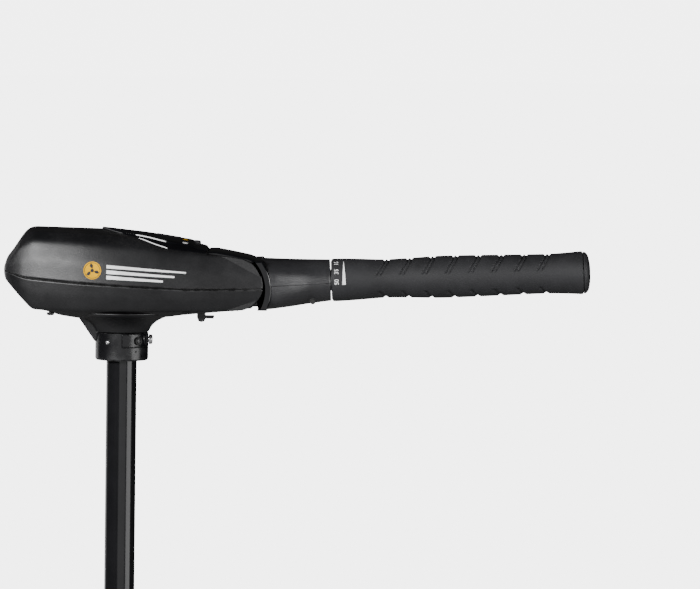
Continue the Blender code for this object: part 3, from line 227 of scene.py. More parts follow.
def slab(outline, low, high, edge=0.0008, across="Y", corner=0.0, steps=4):
    """An outline with a thickness and rounded rims. Ring k of the rim is the outline moved inwards by
    edge*(1 - sin t) at depth edge*(1 - cos t), with t going from 0 to 90 degrees. One more ring lies flat
    inside each rim, so that the flat faces are shaded flat."""
    path = rounded(outline, corner, closed=True) if corner else np.asarray(outline, dtype=float)
    step = np.roll(path, -1, axis=0) - np.roll(path, 1, axis=0)
    normal = np.stack([step[:, 1], -step[:, 0]], -1)
    normal /= np.linalg.norm(normal, axis=1, keepdims=True) + 1e-12
    x, y = path[:, 0], path[:, 1]
    area = np.sum(x * np.roll(y, -1) - np.roll(x, -1) * y)
    normal *= np.sign(area)
    t = np.linspace(0, np.pi / 2, steps)
    flat_ring = np.array([edge + 0.0002])
    inset = np.concatenate([flat_ring, edge * (1 - np.sin(t)), edge * (1 - np.sin(t[::-1])), flat_ring])
    depth = np.concatenate([[low], low + edge * (1 - np.cos(t)), high - edge * (1 - np.cos(t[::-1])), [high]])
    flat = path[None] - normal[None] * inset[:, None, None]
    level = np.broadcast_to(depth[:, None], flat.shape[:2])
    parts = {"Y": (flat[..., 0], level, flat[..., 1]), "X": (level, flat[..., 0], flat[..., 1])}
    points = np.stack(parts.get(across, (flat[..., 0], flat[..., 1], level)), -1)
    rings, count = flat.shape[:2]
    faces = grid_quads(rings, count, False, True).tolist()
    faces += [list(range(count)), list(range((rings - 1) * count, rings * count))]
    return points, faces


def arc(centre, radius, start, end, steps):
    """Points on a circle, its angles in degrees: centre + radius (cos a, sin a)."""
    angle = np.radians(np.linspace(start, end, steps))
    return np.stack([centre[0] + radius * np.cos(angle), centre[1] + radius * np.sin(angle)], -1)


def moved(part, place):
    """The same part with its points put somewhere else by a function or an offset."""
    points, faces = part
    return (place(points) if callable(place) else points + np.array(place)), faces


def turned(name, body, look, nodes, profile, axis="Z", at=(0.0, 0.0, 0.0), place=None, sharp=40.0, **how):
    """One lathe made into a finished piece. `place` moves it first, and `how` goes to lathe()."""
    part = lathe(profile, axis, at, **how)
    return finish_piece(piece(name, [moved(part, place) if place else part], sharp), body, look, *nodes)


# %% [markdown]
# ## Shared surface effects
#
# Black plastic is never only black. The real mouldings have a fine grain, slightly uneven gloss, pale
# rubbed edges and a little dust on what faces up. Each of these is a small node group with named inputs,
# so every material can use it at its own scale and strength. The groups only give out masks and heights;
# the shader stays in the material.

# %% Node group helpers


def new_group(name, inputs, outputs):
    group = bpy.data.node_groups.new(name, "ShaderNodeTree")
    for title, kind, value in inputs:
        socket = group.interface.new_socket(name=title, in_out="INPUT", socket_type=kind)
        socket.default_value = value
    for title, kind in outputs:
        group.interface.new_socket(name=title, in_out="OUTPUT", socket_type=kind)
    return group, group.nodes.new("NodeGroupInput"), group.nodes.new("NodeGroupOutput")


def add_node(tree, kind, settings=None, **values):
    """One shader node. settings are its own properties, and values are its sockets, by name; a socket
    given as a value takes a link instead."""
    node = tree.nodes.new(kind)
    for key, value in (settings or {}).items():
        setattr(node, key, value)
    for key, value in values.items():
        socket = node.inputs[int(key[1:])] if key[1:].isdigit() else node.inputs[key.replace("_", " ")]
        if isinstance(value, bpy.types.NodeSocket):
            tree.links.new(value, socket)
        else:
            socket.default_value = value
    return node


def maths(tree, operation, a, b=0.0):
    return add_node(tree, "ShaderNodeMath", {"operation": operation}, _0=a, _1=b).outputs[0]


def stretch(tree, value, low, high, to_low=0.0, to_high=1.0):
    """value from low..high spread over to_low..to_high, and held at the ends."""
    node = add_node(tree, "ShaderNodeMapRange", None, Value=value)
    for key, number in (("From Min", low), ("From Max", high), ("To Min", to_low), ("To Max", to_high)):
        node.inputs[key].default_value = number
    return node.outputs["Result"]


# %% The grain of a moulded surface
def make_grain_group():
    """Height: small rounded cells with finer noise over them, like a spark-eroded mould.
    Patches: slow noise that makes the gloss uneven."""
    group, given, out = new_group(
        "moulded_grain",
        [("Vector", "NodeSocketVector", (0, 0, 0)), ("Cells per metre", "NodeSocketFloat", 1400.0)],
        [("Height", "NodeSocketFloat"), ("Patches", "NodeSocketFloat")],
    )
    place, scale = given.outputs["Vector"], given.outputs["Cells per metre"]
    cells = add_node(group, "ShaderNodeTexVoronoi", {"feature": "SMOOTH_F1"}, Vector=place, Scale=scale)
    fine = add_node(group, "ShaderNodeTexNoise", None, Vector=place, Detail=3.0)
    group.links.new(maths(group, "MULTIPLY", scale, 1.7), fine.inputs["Scale"])
    slow = add_node(group, "ShaderNodeTexNoise", None, Vector=place, Scale=38.0, Detail=4.0, Roughness=0.62)
    height = maths(group, "ADD", cells.outputs["Distance"], maths(group, "MULTIPLY", fine.outputs["Fac"], 0.6))
    group.links.new(height, out.inputs["Height"])
    group.links.new(stretch(group, slow.outputs["Fac"], 0.36, 0.64), out.inputs["Patches"])
    return group


# %% Rubbed edges and settled dust
def make_wear_group():
    """Mask: convex edges found from how pointed the surface is, broken up by noise."""
    group, given, out = new_group(
        "edge_wear",
        [("Vector", "NodeSocketVector", (0, 0, 0)), ("Reach", "NodeSocketFloat", 0.5)],
        [("Mask", "NodeSocketFloat")],
    )
    pointed = add_node(group, "ShaderNodeNewGeometry").outputs["Pointiness"]
    edge = stretch(group, pointed, 0.52, 0.62)
    noise = add_node(group, "ShaderNodeTexNoise", None, Vector=given.outputs["Vector"], Scale=170.0, Detail=5.0)
    broken = stretch(group, noise.outputs["Fac"], 0.42, 0.62)
    mask = maths(group, "MULTIPLY", maths(group, "MULTIPLY", edge, broken), given.outputs["Reach"])
    group.links.new(mask, out.inputs["Mask"])
    return group


def make_dust_group():
    """Mask: where the surface faces up, times fine and coarse noise."""
    group, given, out = new_group(
        "settled_dust",
        [("Vector", "NodeSocketVector", (0, 0, 0)), ("Amount", "NodeSocketFloat", 0.1)],
        [("Mask", "NodeSocketFloat")],
    )
    normal = add_node(group, "ShaderNodeNewGeometry").outputs["Normal"]
    upward = add_node(group, "ShaderNodeSeparateXYZ", None, Vector=normal).outputs["Z"]
    facing = stretch(group, upward, 0.35, 1.0)
    specks = add_node(
        group, "ShaderNodeTexNoise", None, Vector=given.outputs["Vector"], Scale=900.0, Detail=4.0,
    )
    clouds = add_node(group, "ShaderNodeTexNoise", None, Vector=given.outputs["Vector"], Scale=22.0, Detail=3.0)
    both = maths(
        group,
        "MULTIPLY",
        stretch(group, specks.outputs["Fac"], 0.5, 0.72),
        stretch(group, clouds.outputs["Fac"], 0.35, 0.65),
    )
    mask = maths(group, "MULTIPLY", maths(group, "MULTIPLY", facing, both), given.outputs["Amount"])
    group.links.new(mask, out.inputs["Mask"])
    return group


GRAIN, WEAR, DUST = make_grain_group(), make_wear_group(), make_dust_group()
print("groups:", GRAIN.name, WEAR.name, DUST.name)


# %% [markdown]
# ## Materials
#
# All the black plastics share one recipe and differ in numbers: how coarse and deep the grain is, how
# glossy the patches are, how far the edges have rubbed pale. The metals use stretched noise for their
# brushing, which follows the axis that each piece was polished along.


# %% Plastics, rubber and paint
def mix_colour(tree, mask, first, second):
    node = tree.nodes.new("ShaderNodeMix")
    node.data_type = "RGBA"
    tree.links.new(mask, node.inputs[0])
    for socket, value in ((node.inputs[6], first), (node.inputs[7], second)):
        if isinstance(value, bpy.types.NodeSocket):
            tree.links.new(value, socket)
        else:
            socket.default_value = (*value, 1.0)
    return node.outputs[2]


def moulded(
    name, slot, colour, gloss, cells=1400.0, depth=0.00004, wear=0.3, worn=(0.16, 0.16, 0.165), dust=0.10,
    coat=0.0, shine=0.5,
):
    """gloss is the roughness at the shiniest and dullest patches. slot is the record's name for the finish."""
    made = bpy.data.materials.new(name)
    if slot:
        made["slot"] = slot
    made.use_nodes = True
    tree = made.node_tree
    shader = tree.nodes["Principled BSDF"]
    place = add_node(tree, "ShaderNodeTexCoord").outputs["Object"]
    grain = add_node(tree, "ShaderNodeGroup", {"node_tree": GRAIN}, Vector=place)
    grain.inputs["Cells per metre"].default_value = cells
    rubbed = add_node(tree, "ShaderNodeGroup", {"node_tree": WEAR}, Vector=place, Reach=wear)
    dusty = add_node(tree, "ShaderNodeGroup", {"node_tree": DUST}, Vector=place, Amount=dust)
    shade = tuple(channel * 0.72 for channel in colour)
    base = mix_colour(tree, grain.outputs["Patches"], shade, colour)
    base = mix_colour(tree, rubbed.outputs["Mask"], base, worn)
    base = mix_colour(tree, dusty.outputs["Mask"], base, (0.36, 0.35, 0.33))
    tree.links.new(base, shader.inputs["Base Color"])
    rough = stretch(tree, grain.outputs["Patches"], 0.0, 1.0, *gloss)
    rough = maths(tree, "ADD", rough, maths(tree, "MULTIPLY", dusty.outputs["Mask"], 0.4))
    tree.links.new(rough, shader.inputs["Roughness"])
    bump = add_node(tree, "ShaderNodeBump", None, Height=grain.outputs["Height"], Strength=1.0, Distance=depth)
    tree.links.new(bump.outputs["Normal"], shader.inputs["Normal"])
    shader.inputs["Specular IOR Level"].default_value = shine
    shader.inputs["Coat Weight"].default_value = coat
    shader.inputs["Coat Roughness"].default_value = 0.06
    return made


HEAD_PLASTIC = moulded(
    "head_textured_black", "head_plastic", (0.006, 0.006, 0.007), (0.38, 0.47), 1100.0, 0.00007, 0.25,
)
ARM_PLASTIC = moulded(
    "arm_satin_black", "head_plastic", (0.022, 0.022, 0.024), (0.34, 0.42), 1900.0, 0.00003, 0.25,
)
PANEL_GLOSS = moulded(
    "panel_gloss_black", "gloss_plastic", (0.004, 0.004, 0.005), (0.06, 0.10), 500.0, 0.000004, 0.0, dust=0.02,
)
GRIP_RUBBER = moulded(
    "grip_soft_rubber", "grip_rubber", (0.016, 0.016, 0.018), (0.58, 0.70), 2400.0, 0.00005, 0.12, shine=0.4,
)
COLLAR_BLACK = moulded(
    "collar_satin_black", "collar_plastic", (0.005, 0.005, 0.006), (0.22, 0.30), 1500.0, 0.00003, 0.3,
)
KNOB_NYLON = moulded("knob_nylon_black", "nylon", (0.020, 0.020, 0.022), (0.36, 0.48), 1300.0, 0.00006, 0.5)
BUSH_NYLON = moulded("bush_nylon_grey", "nylon", (0.10, 0.10, 0.105), (0.34, 0.44), 1500.0, 0.00003, 0.2)
MOTOR_PAINT = moulded(
    "motor_black_paint", "pod_paint", (0.010, 0.010, 0.012), (0.16, 0.26), 420.0, 0.00003, 0.6,
    (0.30, 0.30, 0.31), coat=0.4,
)
BRACKET_COAT = moulded(
    "bracket_powder_coat", "bracket_casting", (0.016, 0.016, 0.018), (0.40, 0.52), 800.0, 0.00010, 0.2,
    (0.20, 0.20, 0.21),
)
PROP_NYLON = moulded("propeller_nylon", "nylon", (0.014, 0.014, 0.016), (0.26, 0.38), 900.0, 0.00004, 0.7)
PAD_RUBBER = moulded("pad_rubber", "nylon", (0.030, 0.030, 0.032), (0.60, 0.70), 1600.0, 0.00008, 0.3)
print("moulded finishes made")


# %% The shaft's composite and the bright metals
def drawn_metal(name, slot, colour, gloss, across, depth=0.000006, metal=1.0):
    """Brushing: noise that is stretched along the piece, so `across` holds a small number on its axis."""
    made = bpy.data.materials.new(name)
    made["slot"] = slot
    made.use_nodes = True
    tree = made.node_tree
    shader = tree.nodes["Principled BSDF"]
    place = add_node(tree, "ShaderNodeTexCoord").outputs["Object"]
    lengthways = add_node(tree, "ShaderNodeMapping", None, Vector=place, Scale=across).outputs[0]
    brushing = add_node(
        tree, "ShaderNodeTexNoise", None, Vector=lengthways, Scale=1.0, Detail=6.0, Roughness=0.7,
    )
    marks = add_node(tree, "ShaderNodeTexNoise", None, Vector=place, Scale=60.0, Detail=4.0)
    cloudy = stretch(tree, marks.outputs["Fac"], 0.38, 0.62)
    dull = tuple(channel * 0.82 for channel in colour)
    tree.links.new(mix_colour(tree, cloudy, dull, colour), shader.inputs["Base Color"])
    fine = stretch(tree, brushing.outputs["Fac"], 0.3, 0.7, *gloss)
    tree.links.new(fine, shader.inputs["Roughness"])
    bump = add_node(tree, "ShaderNodeBump", None, Height=brushing.outputs["Fac"], Strength=1.0, Distance=depth)
    tree.links.new(bump.outputs["Normal"], shader.inputs["Normal"])
    shader.inputs["Metallic"].default_value = metal
    return made


SHAFT_COMPOSITE = drawn_metal(
    "shaft_pultruded_black", "shaft_composite", (0.009, 0.009, 0.010), (0.10, 0.17), (900, 900, 12), 0.000003,
    0.0,
)
STEEL_X = drawn_metal("steel_turned_x", "stainless_steel", (0.60, 0.60, 0.61), (0.16, 0.30), (40, 2400, 2400))
STEEL_Y = drawn_metal("steel_turned_y", "stainless_steel", (0.60, 0.60, 0.61), (0.16, 0.30), (2400, 40, 2400))
TUBE_BRIGHT = drawn_metal("tube_polished", "aluminium", (0.80, 0.80, 0.81), (0.08, 0.16), (14, 1500, 1500))
ALUMINIUM = drawn_metal(
    "aluminium_plain", "aluminium", (0.72, 0.72, 0.73), (0.28, 0.42), (300, 300, 300), 0.00001,
)
COPPER = drawn_metal("copper_wound", "copper", (0.66, 0.30, 0.16), (0.25, 0.4), (60, 1500, 1500))
FERRITE = moulded("ferrite", "ferrite", (0.055, 0.055, 0.06), (0.6, 0.75), 1200.0, 0.00006, 0.3)
BOARD_GREEN = moulded("board_green", "circuit_board", (0.012, 0.10, 0.035), (0.3, 0.42), 600.0, 0.00002, 0.0)
WIRE_RED = moulded("wire_red", "wire_red", (0.42, 0.012, 0.012), (0.35, 0.45), 2000.0, 0.00001, 0.0)
WIRE_BLACK = moulded("wire_black", "wire_black", (0.012, 0.012, 0.013), (0.35, 0.45), 2000.0, 0.00001, 0.0)
TUBE_PAINT = moulded(
    "motor_tube_paint", "tube_paint", (0.010, 0.010, 0.012), (0.15, 0.24), 420.0, 0.00002, 0.6,
    (0.30, 0.30, 0.31), coat=0.4,
)
MARK_YELLOW = moulded(
    "mark_yellow", None, (0.80, 0.42, 0.0), (0.7, 0.8), 1100.0, 0.00003, 0.0, dust=0.0, shine=0.0,
)
MARK_WHITE = moulded("mark_white", None, (1.0, 1.0, 1.0), (0.34, 0.44), 1100.0, 0.00003, 0.0, dust=0.0)
LENS = moulded("window_smoked", "lens", (0.02, 0.02, 0.022), (0.03, 0.05), 300.0, 0.000002, 0.0, dust=0.0)
# Near black: real print on the roundel's blades, and painted shade in the discs and strips that stand for
# holes, screw wells and the gaps of seams.
PAINTED_SHADE_AND_PRINT = moulded("hole_dark", None, (0.003, 0.003, 0.003), (0.6, 0.7), 900.0, 0.00002, 0.0, dust=0.0)
print("metal and marking finishes made")

# %% [markdown]
# ## The head's two shells
#
# The cover and the housing meet at a seam that runs round the head. Each shell could be carved from a
# block, but a designer draws it from a few long lines: the top, the shoulder, the seam, the crease and
# the keel seen from the side, and the half width seen from above. Between those lines the skin is nearly
# flat, and at them it turns through a soft radius. Straight spans between the lines, blurred a little
# both ways, give exactly that.

# %% Draw the head's lines
NOSE, FRONT = -0.1052, 0.1300
NOSE_Z, NOSE_ROUND = 0.0797, 0.0036
DECK_END, BELLY_END, EAR_TOP_END = 0.0765, 0.1080, 0.1166
LINES = {
    "top": (
        (
            -0.1052, -0.1030, -0.0975, -0.0880, -0.0835, -0.0780, -0.0171, 0.0215, 0.053, 0.0632, 0.0650,
            0.0765, 0.130,
        ),
        (
            0.0868, 0.0902, 0.0972, 0.1118, 0.1165, 0.1181, 0.1168, 0.1128, 0.1080, 0.1066, 0.1040, 0.1012,
            0.0950,
        ),
    ),
    "shoulder": (
        (-0.1052, -0.1030, -0.0975, -0.090, -0.078, -0.0323, 0.0103, 0.043, 0.0817, 0.103, 0.1166, 0.130),
        (0.0838, 0.0862, 0.0915, 0.1005, 0.1085, 0.1073, 0.1030, 0.1006, 0.0978, 0.0950, 0.0908, 0.0850),
    ),
    "seam": (
        (-0.1052, -0.085, -0.034, 0.022, 0.060, 0.097, 0.130),
        (0.0800, 0.0745, 0.0708, 0.0679, 0.0659, 0.0664, 0.0668),
    ),
    "crease": (
        (-0.1052, -0.0885, -0.0778, -0.050, 0.080, 0.130), (0.0745, 0.0568, 0.0462, 0.0458, 0.0460, 0.0490),
    ),
    "keel": (
        (-0.1052, -0.0885, -0.0778, -0.069, -0.0524, -0.0355, 0.0413, 0.0562, 0.1067, 0.130),
        (0.0742, 0.0560, 0.0450, 0.0434, 0.0388, 0.0365, 0.0386, 0.0407, 0.0452, 0.0480),
    ),
    "width": (
        (-0.1052, -0.103, -0.098, -0.088, -0.078, -0.060, -0.030, 0.0, 0.030, 0.060, 0.078, 0.100, 0.130),
        (
            0.0225, 0.0270, 0.0340, 0.0418, 0.0460, 0.0515, 0.0555, 0.0560, 0.0530, 0.0475, 0.0440, 0.0405,
            0.0382,
        ),
    ),
}
EAR_FRONT_TOP = ((0.1166, 0.1210, 0.1243, 0.1256), (0.0908, 0.0858, 0.0795, 0.0700))
EAR_FRONT_BELOW = (
    (0.1080, 0.1147, 0.1200, 0.1235, 0.1252, 0.1256), (0.0466, 0.0490, 0.0545, 0.0597, 0.0645, 0.0700),
)
STATIONS = np.linspace(NOSE, FRONT, 600)


def line(name, x):
    return np.interp(x, *LINES[name])


def blurred(values, rows, axis):
    """A bell-shaped average over neighbours. Past each end the values go on as their own mirror image
    through the end point, so the ends stay where they are."""
    reach = int(3 * rows)
    v = np.moveaxis(values, axis, 0)
    padded = np.concatenate([2 * v[:1] - v[reach:0:-1], v, 2 * v[-1:] - v[-2 : -reach - 2 : -1]])
    bell = np.exp(-0.5 * (np.arange(-reach, reach + 1) / rows) ** 2)
    total = sum(w * padded[i : i + len(v)] for i, w in enumerate(bell / bell.sum()))
    return np.moveaxis(total, 0, axis)


def half_skin(ys, zs, knots, rows):
    """A skin from its middle to one edge at every station, mirrored to make the whole section, then
    blurred along and across. ys and zs are the control lines, one row of values per line."""
    share = np.linspace(0, 1, rows)
    span = np.clip(np.searchsorted(knots, share, side="right") - 1, 0, len(knots) - 2)
    f = (share - np.take(knots, span)) / (np.take(knots, span + 1) - np.take(knots, span))
    y = ys[span] * (1 - f[:, None]) + ys[span + 1] * f[:, None]
    z = zs[span] * (1 - f[:, None]) + zs[span + 1] * f[:, None]
    half = np.stack([np.broadcast_to(STATIONS, y.shape), y, z], -1)
    mirror = half[:0:-1] * np.array([1.0, -1.0, 1.0])
    whole = np.concatenate([mirror, half]).transpose(1, 0, 2)
    return blurred(blurred(whole, 2.2, 1), 5.0, 0)


def at_stations(skin, x):
    """The skin's points at other places along X: a straight step between its two nearest stations. Near
    the nose each section shrinks to a point by the quarter circle s = sqrt(1 - ((r - d) / r)^2)."""
    place = (x - NOSE) / (FRONT - NOSE) * (len(STATIONS) - 1)
    i = np.clip(place.astype(int), 0, len(STATIONS) - 2)
    f = (place - i)[..., None]
    row = np.arange(skin.shape[1])[None, :]
    points = skin[i, row] * (1 - f) + skin[i + 1, row] * f
    short = np.clip((NOSE_ROUND - (x - NOSE)) / NOSE_ROUND, 0, 1)
    shrink = np.sqrt(1 - short**2)
    points[..., 1] *= shrink
    points[..., 2] = NOSE_Z + (points[..., 2] - NOSE_Z) * shrink
    return points


ROWS = 64
width = line("width", STATIONS)
middle_share = np.clip((STATIONS + 0.088) / 0.030, 0, 1)
width = blurred(width, 9, 0) * (1 - middle_share) + blurred(width, 34, 0) * middle_share
top, shoulder, seam = line("top", STATIONS), line("shoulder", STATIONS), line("seam", STATIONS)
crease, keel = line("crease", STATIONS), line("keel", STATIONS)
cover_skin = half_skin(
    np.stack([0 * width, 0.62 * width, 0.88 * width, 0.972 * width, width]),
    np.stack([
        top, np.maximum(top - 0.0028, shoulder + 0.0002), shoulder, (shoulder + seam) / 2, seam + 0.0007,
    ]),
    np.array([0.0, 0.40, 0.58, 0.79, 1.0]),
    ROWS,
)
housing_skin = half_skin(
    np.stack([0 * width, 0.50 * width, 0.90 * width, 0.968 * width, width]),
    np.stack([keel, np.minimum(keel + 0.0015, crease), crease, (crease + seam) / 2, seam - 0.0007]),
    np.array([0.0, 0.38, 0.70, 0.85, 1.0]),
    ROWS,
)
print("skins:", cover_skin.shape, housing_skin.shape)


# %% Trim the skins to the ears
def row_ends(skin, rows, boundary, above, least):
    """Where each row leaves the head: the first station past `least` at which it crosses the ear's end."""
    z = skin[:, rows, 2]
    limit = np.interp(STATIONS, *boundary)[:, None]
    outside = (z > limit) if above else (z < limit)
    outside = (outside & (STATIONS[:, None] > least)) | (STATIONS[:, None] >= boundary[0][-1])
    return np.maximum(STATIONS[np.argmax(outside, axis=0)], least)


def shell_parts(skin, shoulder_row, deck_end, boundary, above, least):
    """The whole skin back to the deck's end, then each side alone out to the round end of its ear. The
    last millimetre of an ear rolls inwards along a quarter circle."""
    count = skin.shape[1]
    early = NOSE + (deck_end - NOSE) * np.linspace(0, 1, 180) ** 1.5
    main = at_stations(skin, np.broadcast_to(early[:, None], (len(early), count)))
    parts = [(main, grid_quads(len(early), count))]
    for rows in (np.arange(0, shoulder_row + 1), np.arange(count - 1 - shoulder_row, count)):
        ends = blurred(row_ends(skin, rows, boundary, above, least)[None], 1.5, 1)[0]
        share = 1 - (1 - np.linspace(0, 1, 60)) ** 2.2
        x = deck_end + (ends[None] - deck_end) * share[:, None]
        side = at_stations(skin[:, rows], x)
        roll = 0.0012
        near = np.clip(roll - (ends[None] - x), 0, roll)
        inwards = roll - np.sqrt(roll**2 - near**2)
        side[..., 1] -= np.sign(side[..., 1]) * inwards
        parts.append((side, grid_quads(len(share), len(rows))))
    return parts


def lip_parts(part):
    """A narrow strip that turns the seam's edge inwards, so the joint shows as a fine groove."""
    points, _ = part
    strips = []
    for edge in (points[:, 0], points[:, -1]):
        inner = edge.copy()
        inner[:, 1] -= np.sign(inner[:, 1]) * 0.0008
        strips.append((np.stack([edge, inner], 1), grid_quads(len(edge), 2)))
    return strips


HEAD_WALL, ARM_WALL = 0.0026, 0.0024


def thicken(obj, wall):
    solid = obj.modifiers.new("wall", "SOLIDIFY")
    solid.thickness = wall
    solid.offset = -1.0
    return obj


SHOULDER_ROW = int(0.42 * (ROWS - 1))
CREASE_ROW = int(0.30 * (ROWS - 1))
cover_parts = shell_parts(cover_skin, SHOULDER_ROW, DECK_END, EAR_FRONT_TOP, True, EAR_TOP_END)
cover = piece(
    "cover_shell", [moved(p, in_head) for p in cover_parts], 50.0, 0.00001, in_head(np.array([0, 0, 0.06])),
)
thicken(finish_piece(cover, "motor", HEAD_PLASTIC, "head_cover"), HEAD_WALL)
housing_parts = shell_parts(housing_skin, CREASE_ROW, BELLY_END, EAR_FRONT_BELOW, False, BELLY_END)
housing = piece(
    "housing_shell", [moved(p, in_head) for p in housing_parts], 50.0, 0.00001,
    in_head(np.array([0, 0, 0.075])),
)
thicken(finish_piece(housing, "motor", HEAD_PLASTIC, "head_housing"), HEAD_WALL)

# A dark strip just inside each side of the head's seam: painted shade, so the gap between cover and housing
# looks shaded.
seam_x = np.linspace(NOSE + 0.004, 0.1180, 120)
seam_shade_strips = []
for side in (-1, 1):
    y, z = side * (np.interp(seam_x, STATIONS, width) - 0.0034), line("seam", seam_x)
    strip = np.stack([np.stack([seam_x, y, z - 0.003], -1), np.stack([seam_x, y, z + 0.003], -1)], 1)
    seam_shade_strips.append(moved((strip, grid_quads(120, 2)), in_head))
finish_piece(piece("seam_liner", seam_shade_strips), "motor", PAINTED_SHADE_AND_PRINT)

# %% [markdown]
# The ears are thicker than the skin, because they carry the tilt pin. A flat cheek fills each ear from
# the skin to the knuckle, and a curved wall behind the knuckle closes the head off.

# %% Ear cheeks and the wall behind the knuckle
ear = [(0.0800, 0.0474), (0.1080, 0.0478), (0.1140, 0.0500), (0.1190, 0.0542), (0.1224, 0.0592)]
ear += [(0.1241, 0.0640), (0.1245, 0.0700), (0.1231, 0.0785), (0.1200, 0.0845), (0.1160, 0.0893)]
ear += [(0.1080, 0.0930), (0.0990, 0.0945), (0.0800, 0.0965)]
cheeks = [slab(ear, side * 0.0361 - 0.0014, side * 0.0361 + 0.0014, 0.0006, corner=0.002) for side in (-1, 1)]
finish_piece(piece("ear_cheeks", [moved(p, in_head) for p in cheeks]), "motor", HEAD_PLASTIC)
pivot_in_head = PIVOT - HEAD
wall_top = math.degrees(math.asin((0.0975 - pivot_in_head[2]) / 0.0378))
wall_path = arc((pivot_in_head[0], pivot_in_head[2]), 0.0368, 180 - wall_top, 205, 30)
wall_back = arc((pivot_in_head[0], pivot_in_head[2]), 0.0386, 205, 180 - wall_top, 30)
cradle = slab(np.concatenate([wall_path, wall_back]), -0.0345, 0.0345, 0.0003)
finish_piece(piece("knuckle_cradle", [moved(cradle, in_head)]), "motor", HEAD_PLASTIC)

# %% The neck and its gusset
neck = [(0.0150, 0.0250), (0.0238, 0.0250), (0.0246, 0.0268), (0.0262, 0.0298), (0.0292, 0.0332)]
neck += [(0.0340, 0.0364), (0.0400, 0.0390), (0.0468, 0.0412), (0.0500, 0.0440), (0.0150, 0.0440)]
turned("neck_flare", "motor", HEAD_PLASTIC, [], neck, place=in_head, radius=0.0025, ring=True, sides=144)
gusset_side = [(-0.0400, 0.0410), (-0.0376, 0.0362), (-0.0240, 0.0165), (-0.0230, 0.0165)]
gusset_side += [(-0.0150, 0.0254), (-0.0150, 0.0410)]
gusset = slab(gusset_side, -0.0075, 0.0075, 0.0010, corner=0.0012)
finish_piece(piece("neck_gusset", [moved(gusset, in_head)]), "motor", COLLAR_BLACK)

# %% [markdown]
# ## The gloss panel
#
# A thin gloss panel is let into the top. It starts as a narrow tongue and widens until it reaches both
# shoulders at the tiller. It rises in two steep steps along each side, and the steps catch the light as
# two bright lines. The panel is the cover's own skin lifted by a height that depends only on the share of
# the half width, and its two ends ramp down into the skin.

# %% Make the panel
PANEL_START, PANEL_END, END_RAMP = -0.0185, 0.0757, 0.0006
PANEL_HALF = (
    (PANEL_START, -0.010, 0.000, 0.0156, 0.030, 0.043, 0.060, PANEL_END),
    (0.0030, 0.0135, 0.0245, 0.0340, 0.0395, 0.0425, 0.0405, 0.0380),
)


def skin_z(skin, x, y):
    """The height of a shell's skin at places seen from above, looked up across each section."""
    sections = at_stations(skin, np.broadcast_to(x[:, :1], (x.shape[0], skin.shape[1])))
    return np.stack([np.interp(row_y, section[:, 1], section[:, 2]) for row_y, section in zip(y, sections)])


def panel_height(share):
    """Height above the skin by share of the half width: up a steep rim, and up again at a second one."""
    return np.interp(
        np.abs(share), (0.0, 0.7955, 0.8000, 0.9955, 1.0), (0.0016, 0.0016, 0.0007, 0.0007, -0.0006),
    )


one_side = [np.linspace(0, 0.79, 60), (0.7955, 0.8000, 0.8050), np.linspace(0.815, 0.9900, 24), (0.9955, 1.0)]
one_side = np.concatenate(one_side)
across = np.concatenate([-one_side[:0:-1], one_side])[None, :]
panel_x = np.linspace(PANEL_START, PANEL_END, 190)[:, None]
half = blurred(np.interp(panel_x, *PANEL_HALF), 4.0, 0)
panel_y = across * half
ends = np.clip(np.minimum(panel_x - PANEL_START, PANEL_END - panel_x) / END_RAMP, 0, 1)
panel_z = skin_z(cover_skin, np.broadcast_to(panel_x, panel_y.shape), panel_y)
panel_z = panel_z + panel_height(across) * ends - 0.0005 * (1 - ends)
panel_points = np.stack([np.broadcast_to(panel_x, panel_y.shape), panel_y, panel_z], -1)
panel = piece("gloss_panel", [moved((panel_points, grid_quads(190, across.size)), in_head)], 25.0, inside=HEAD)
finish_piece(panel, "motor", PANEL_GLOSS, "top_panel")

# %% [markdown]
# ## The tiller's knuckle and arm
#
# The knuckle is a drum that swings between the ears on the tilt pin. Just past the ears it swells to
# their full width, as a gloss band. The arm behind the band is two half shells. Their section goes from a
# rounded box to a circle: a superellipse, |y/a|^n + |z/b|^n = 1, whose power n falls along the arm.

# %% The knuckle
drum = np.concatenate(
    [
        [(-0.0076, -0.0158)],
        arc((0, 0), 0.0410, -23, 33, 16),
        [(0.0237, 0.0268), (0.0100, 0.0302), (-0.0050, 0.0335)],
        arc((0, 0), 0.0354, 108, 159, 14),
    ]
)
band = np.concatenate([arc((0, 0), 0.0358, -33, 43, 26), arc((0, 0), 0.0430, 34.5, -27.5, 26)])
knuckle_parts = [slab(drum, -0.0341, 0.0341, 0.0012), slab(band, -0.0372, 0.0372, 0.0016, steps=6)]
knuckle = piece("knuckle_gloss", [moved(p, in_tiller) for p in knuckle_parts])
finish_piece(knuckle, "tiller_arm", PANEL_GLOSS, "knuckle")

# %% The arm's two shells
ARM_X = (0.024, 0.028, 0.045, 0.060, 0.075, 0.0952)
ARM_LINES = {
    "width": (0.0380, 0.0378, 0.0358, 0.0305, 0.0243, 0.0186),
    "top": (0.0256, 0.0252, 0.0240, 0.0233, 0.0227, 0.0219),
    "bottom": (-0.0211, -0.0210, -0.0200, -0.0187, -0.0169, -0.0150),
    "power": (4.0, 3.8, 3.3, 2.8, 2.3, 2.0),
}
ARM_SWING = 0.0424
ARM_SEAM = 0.0016


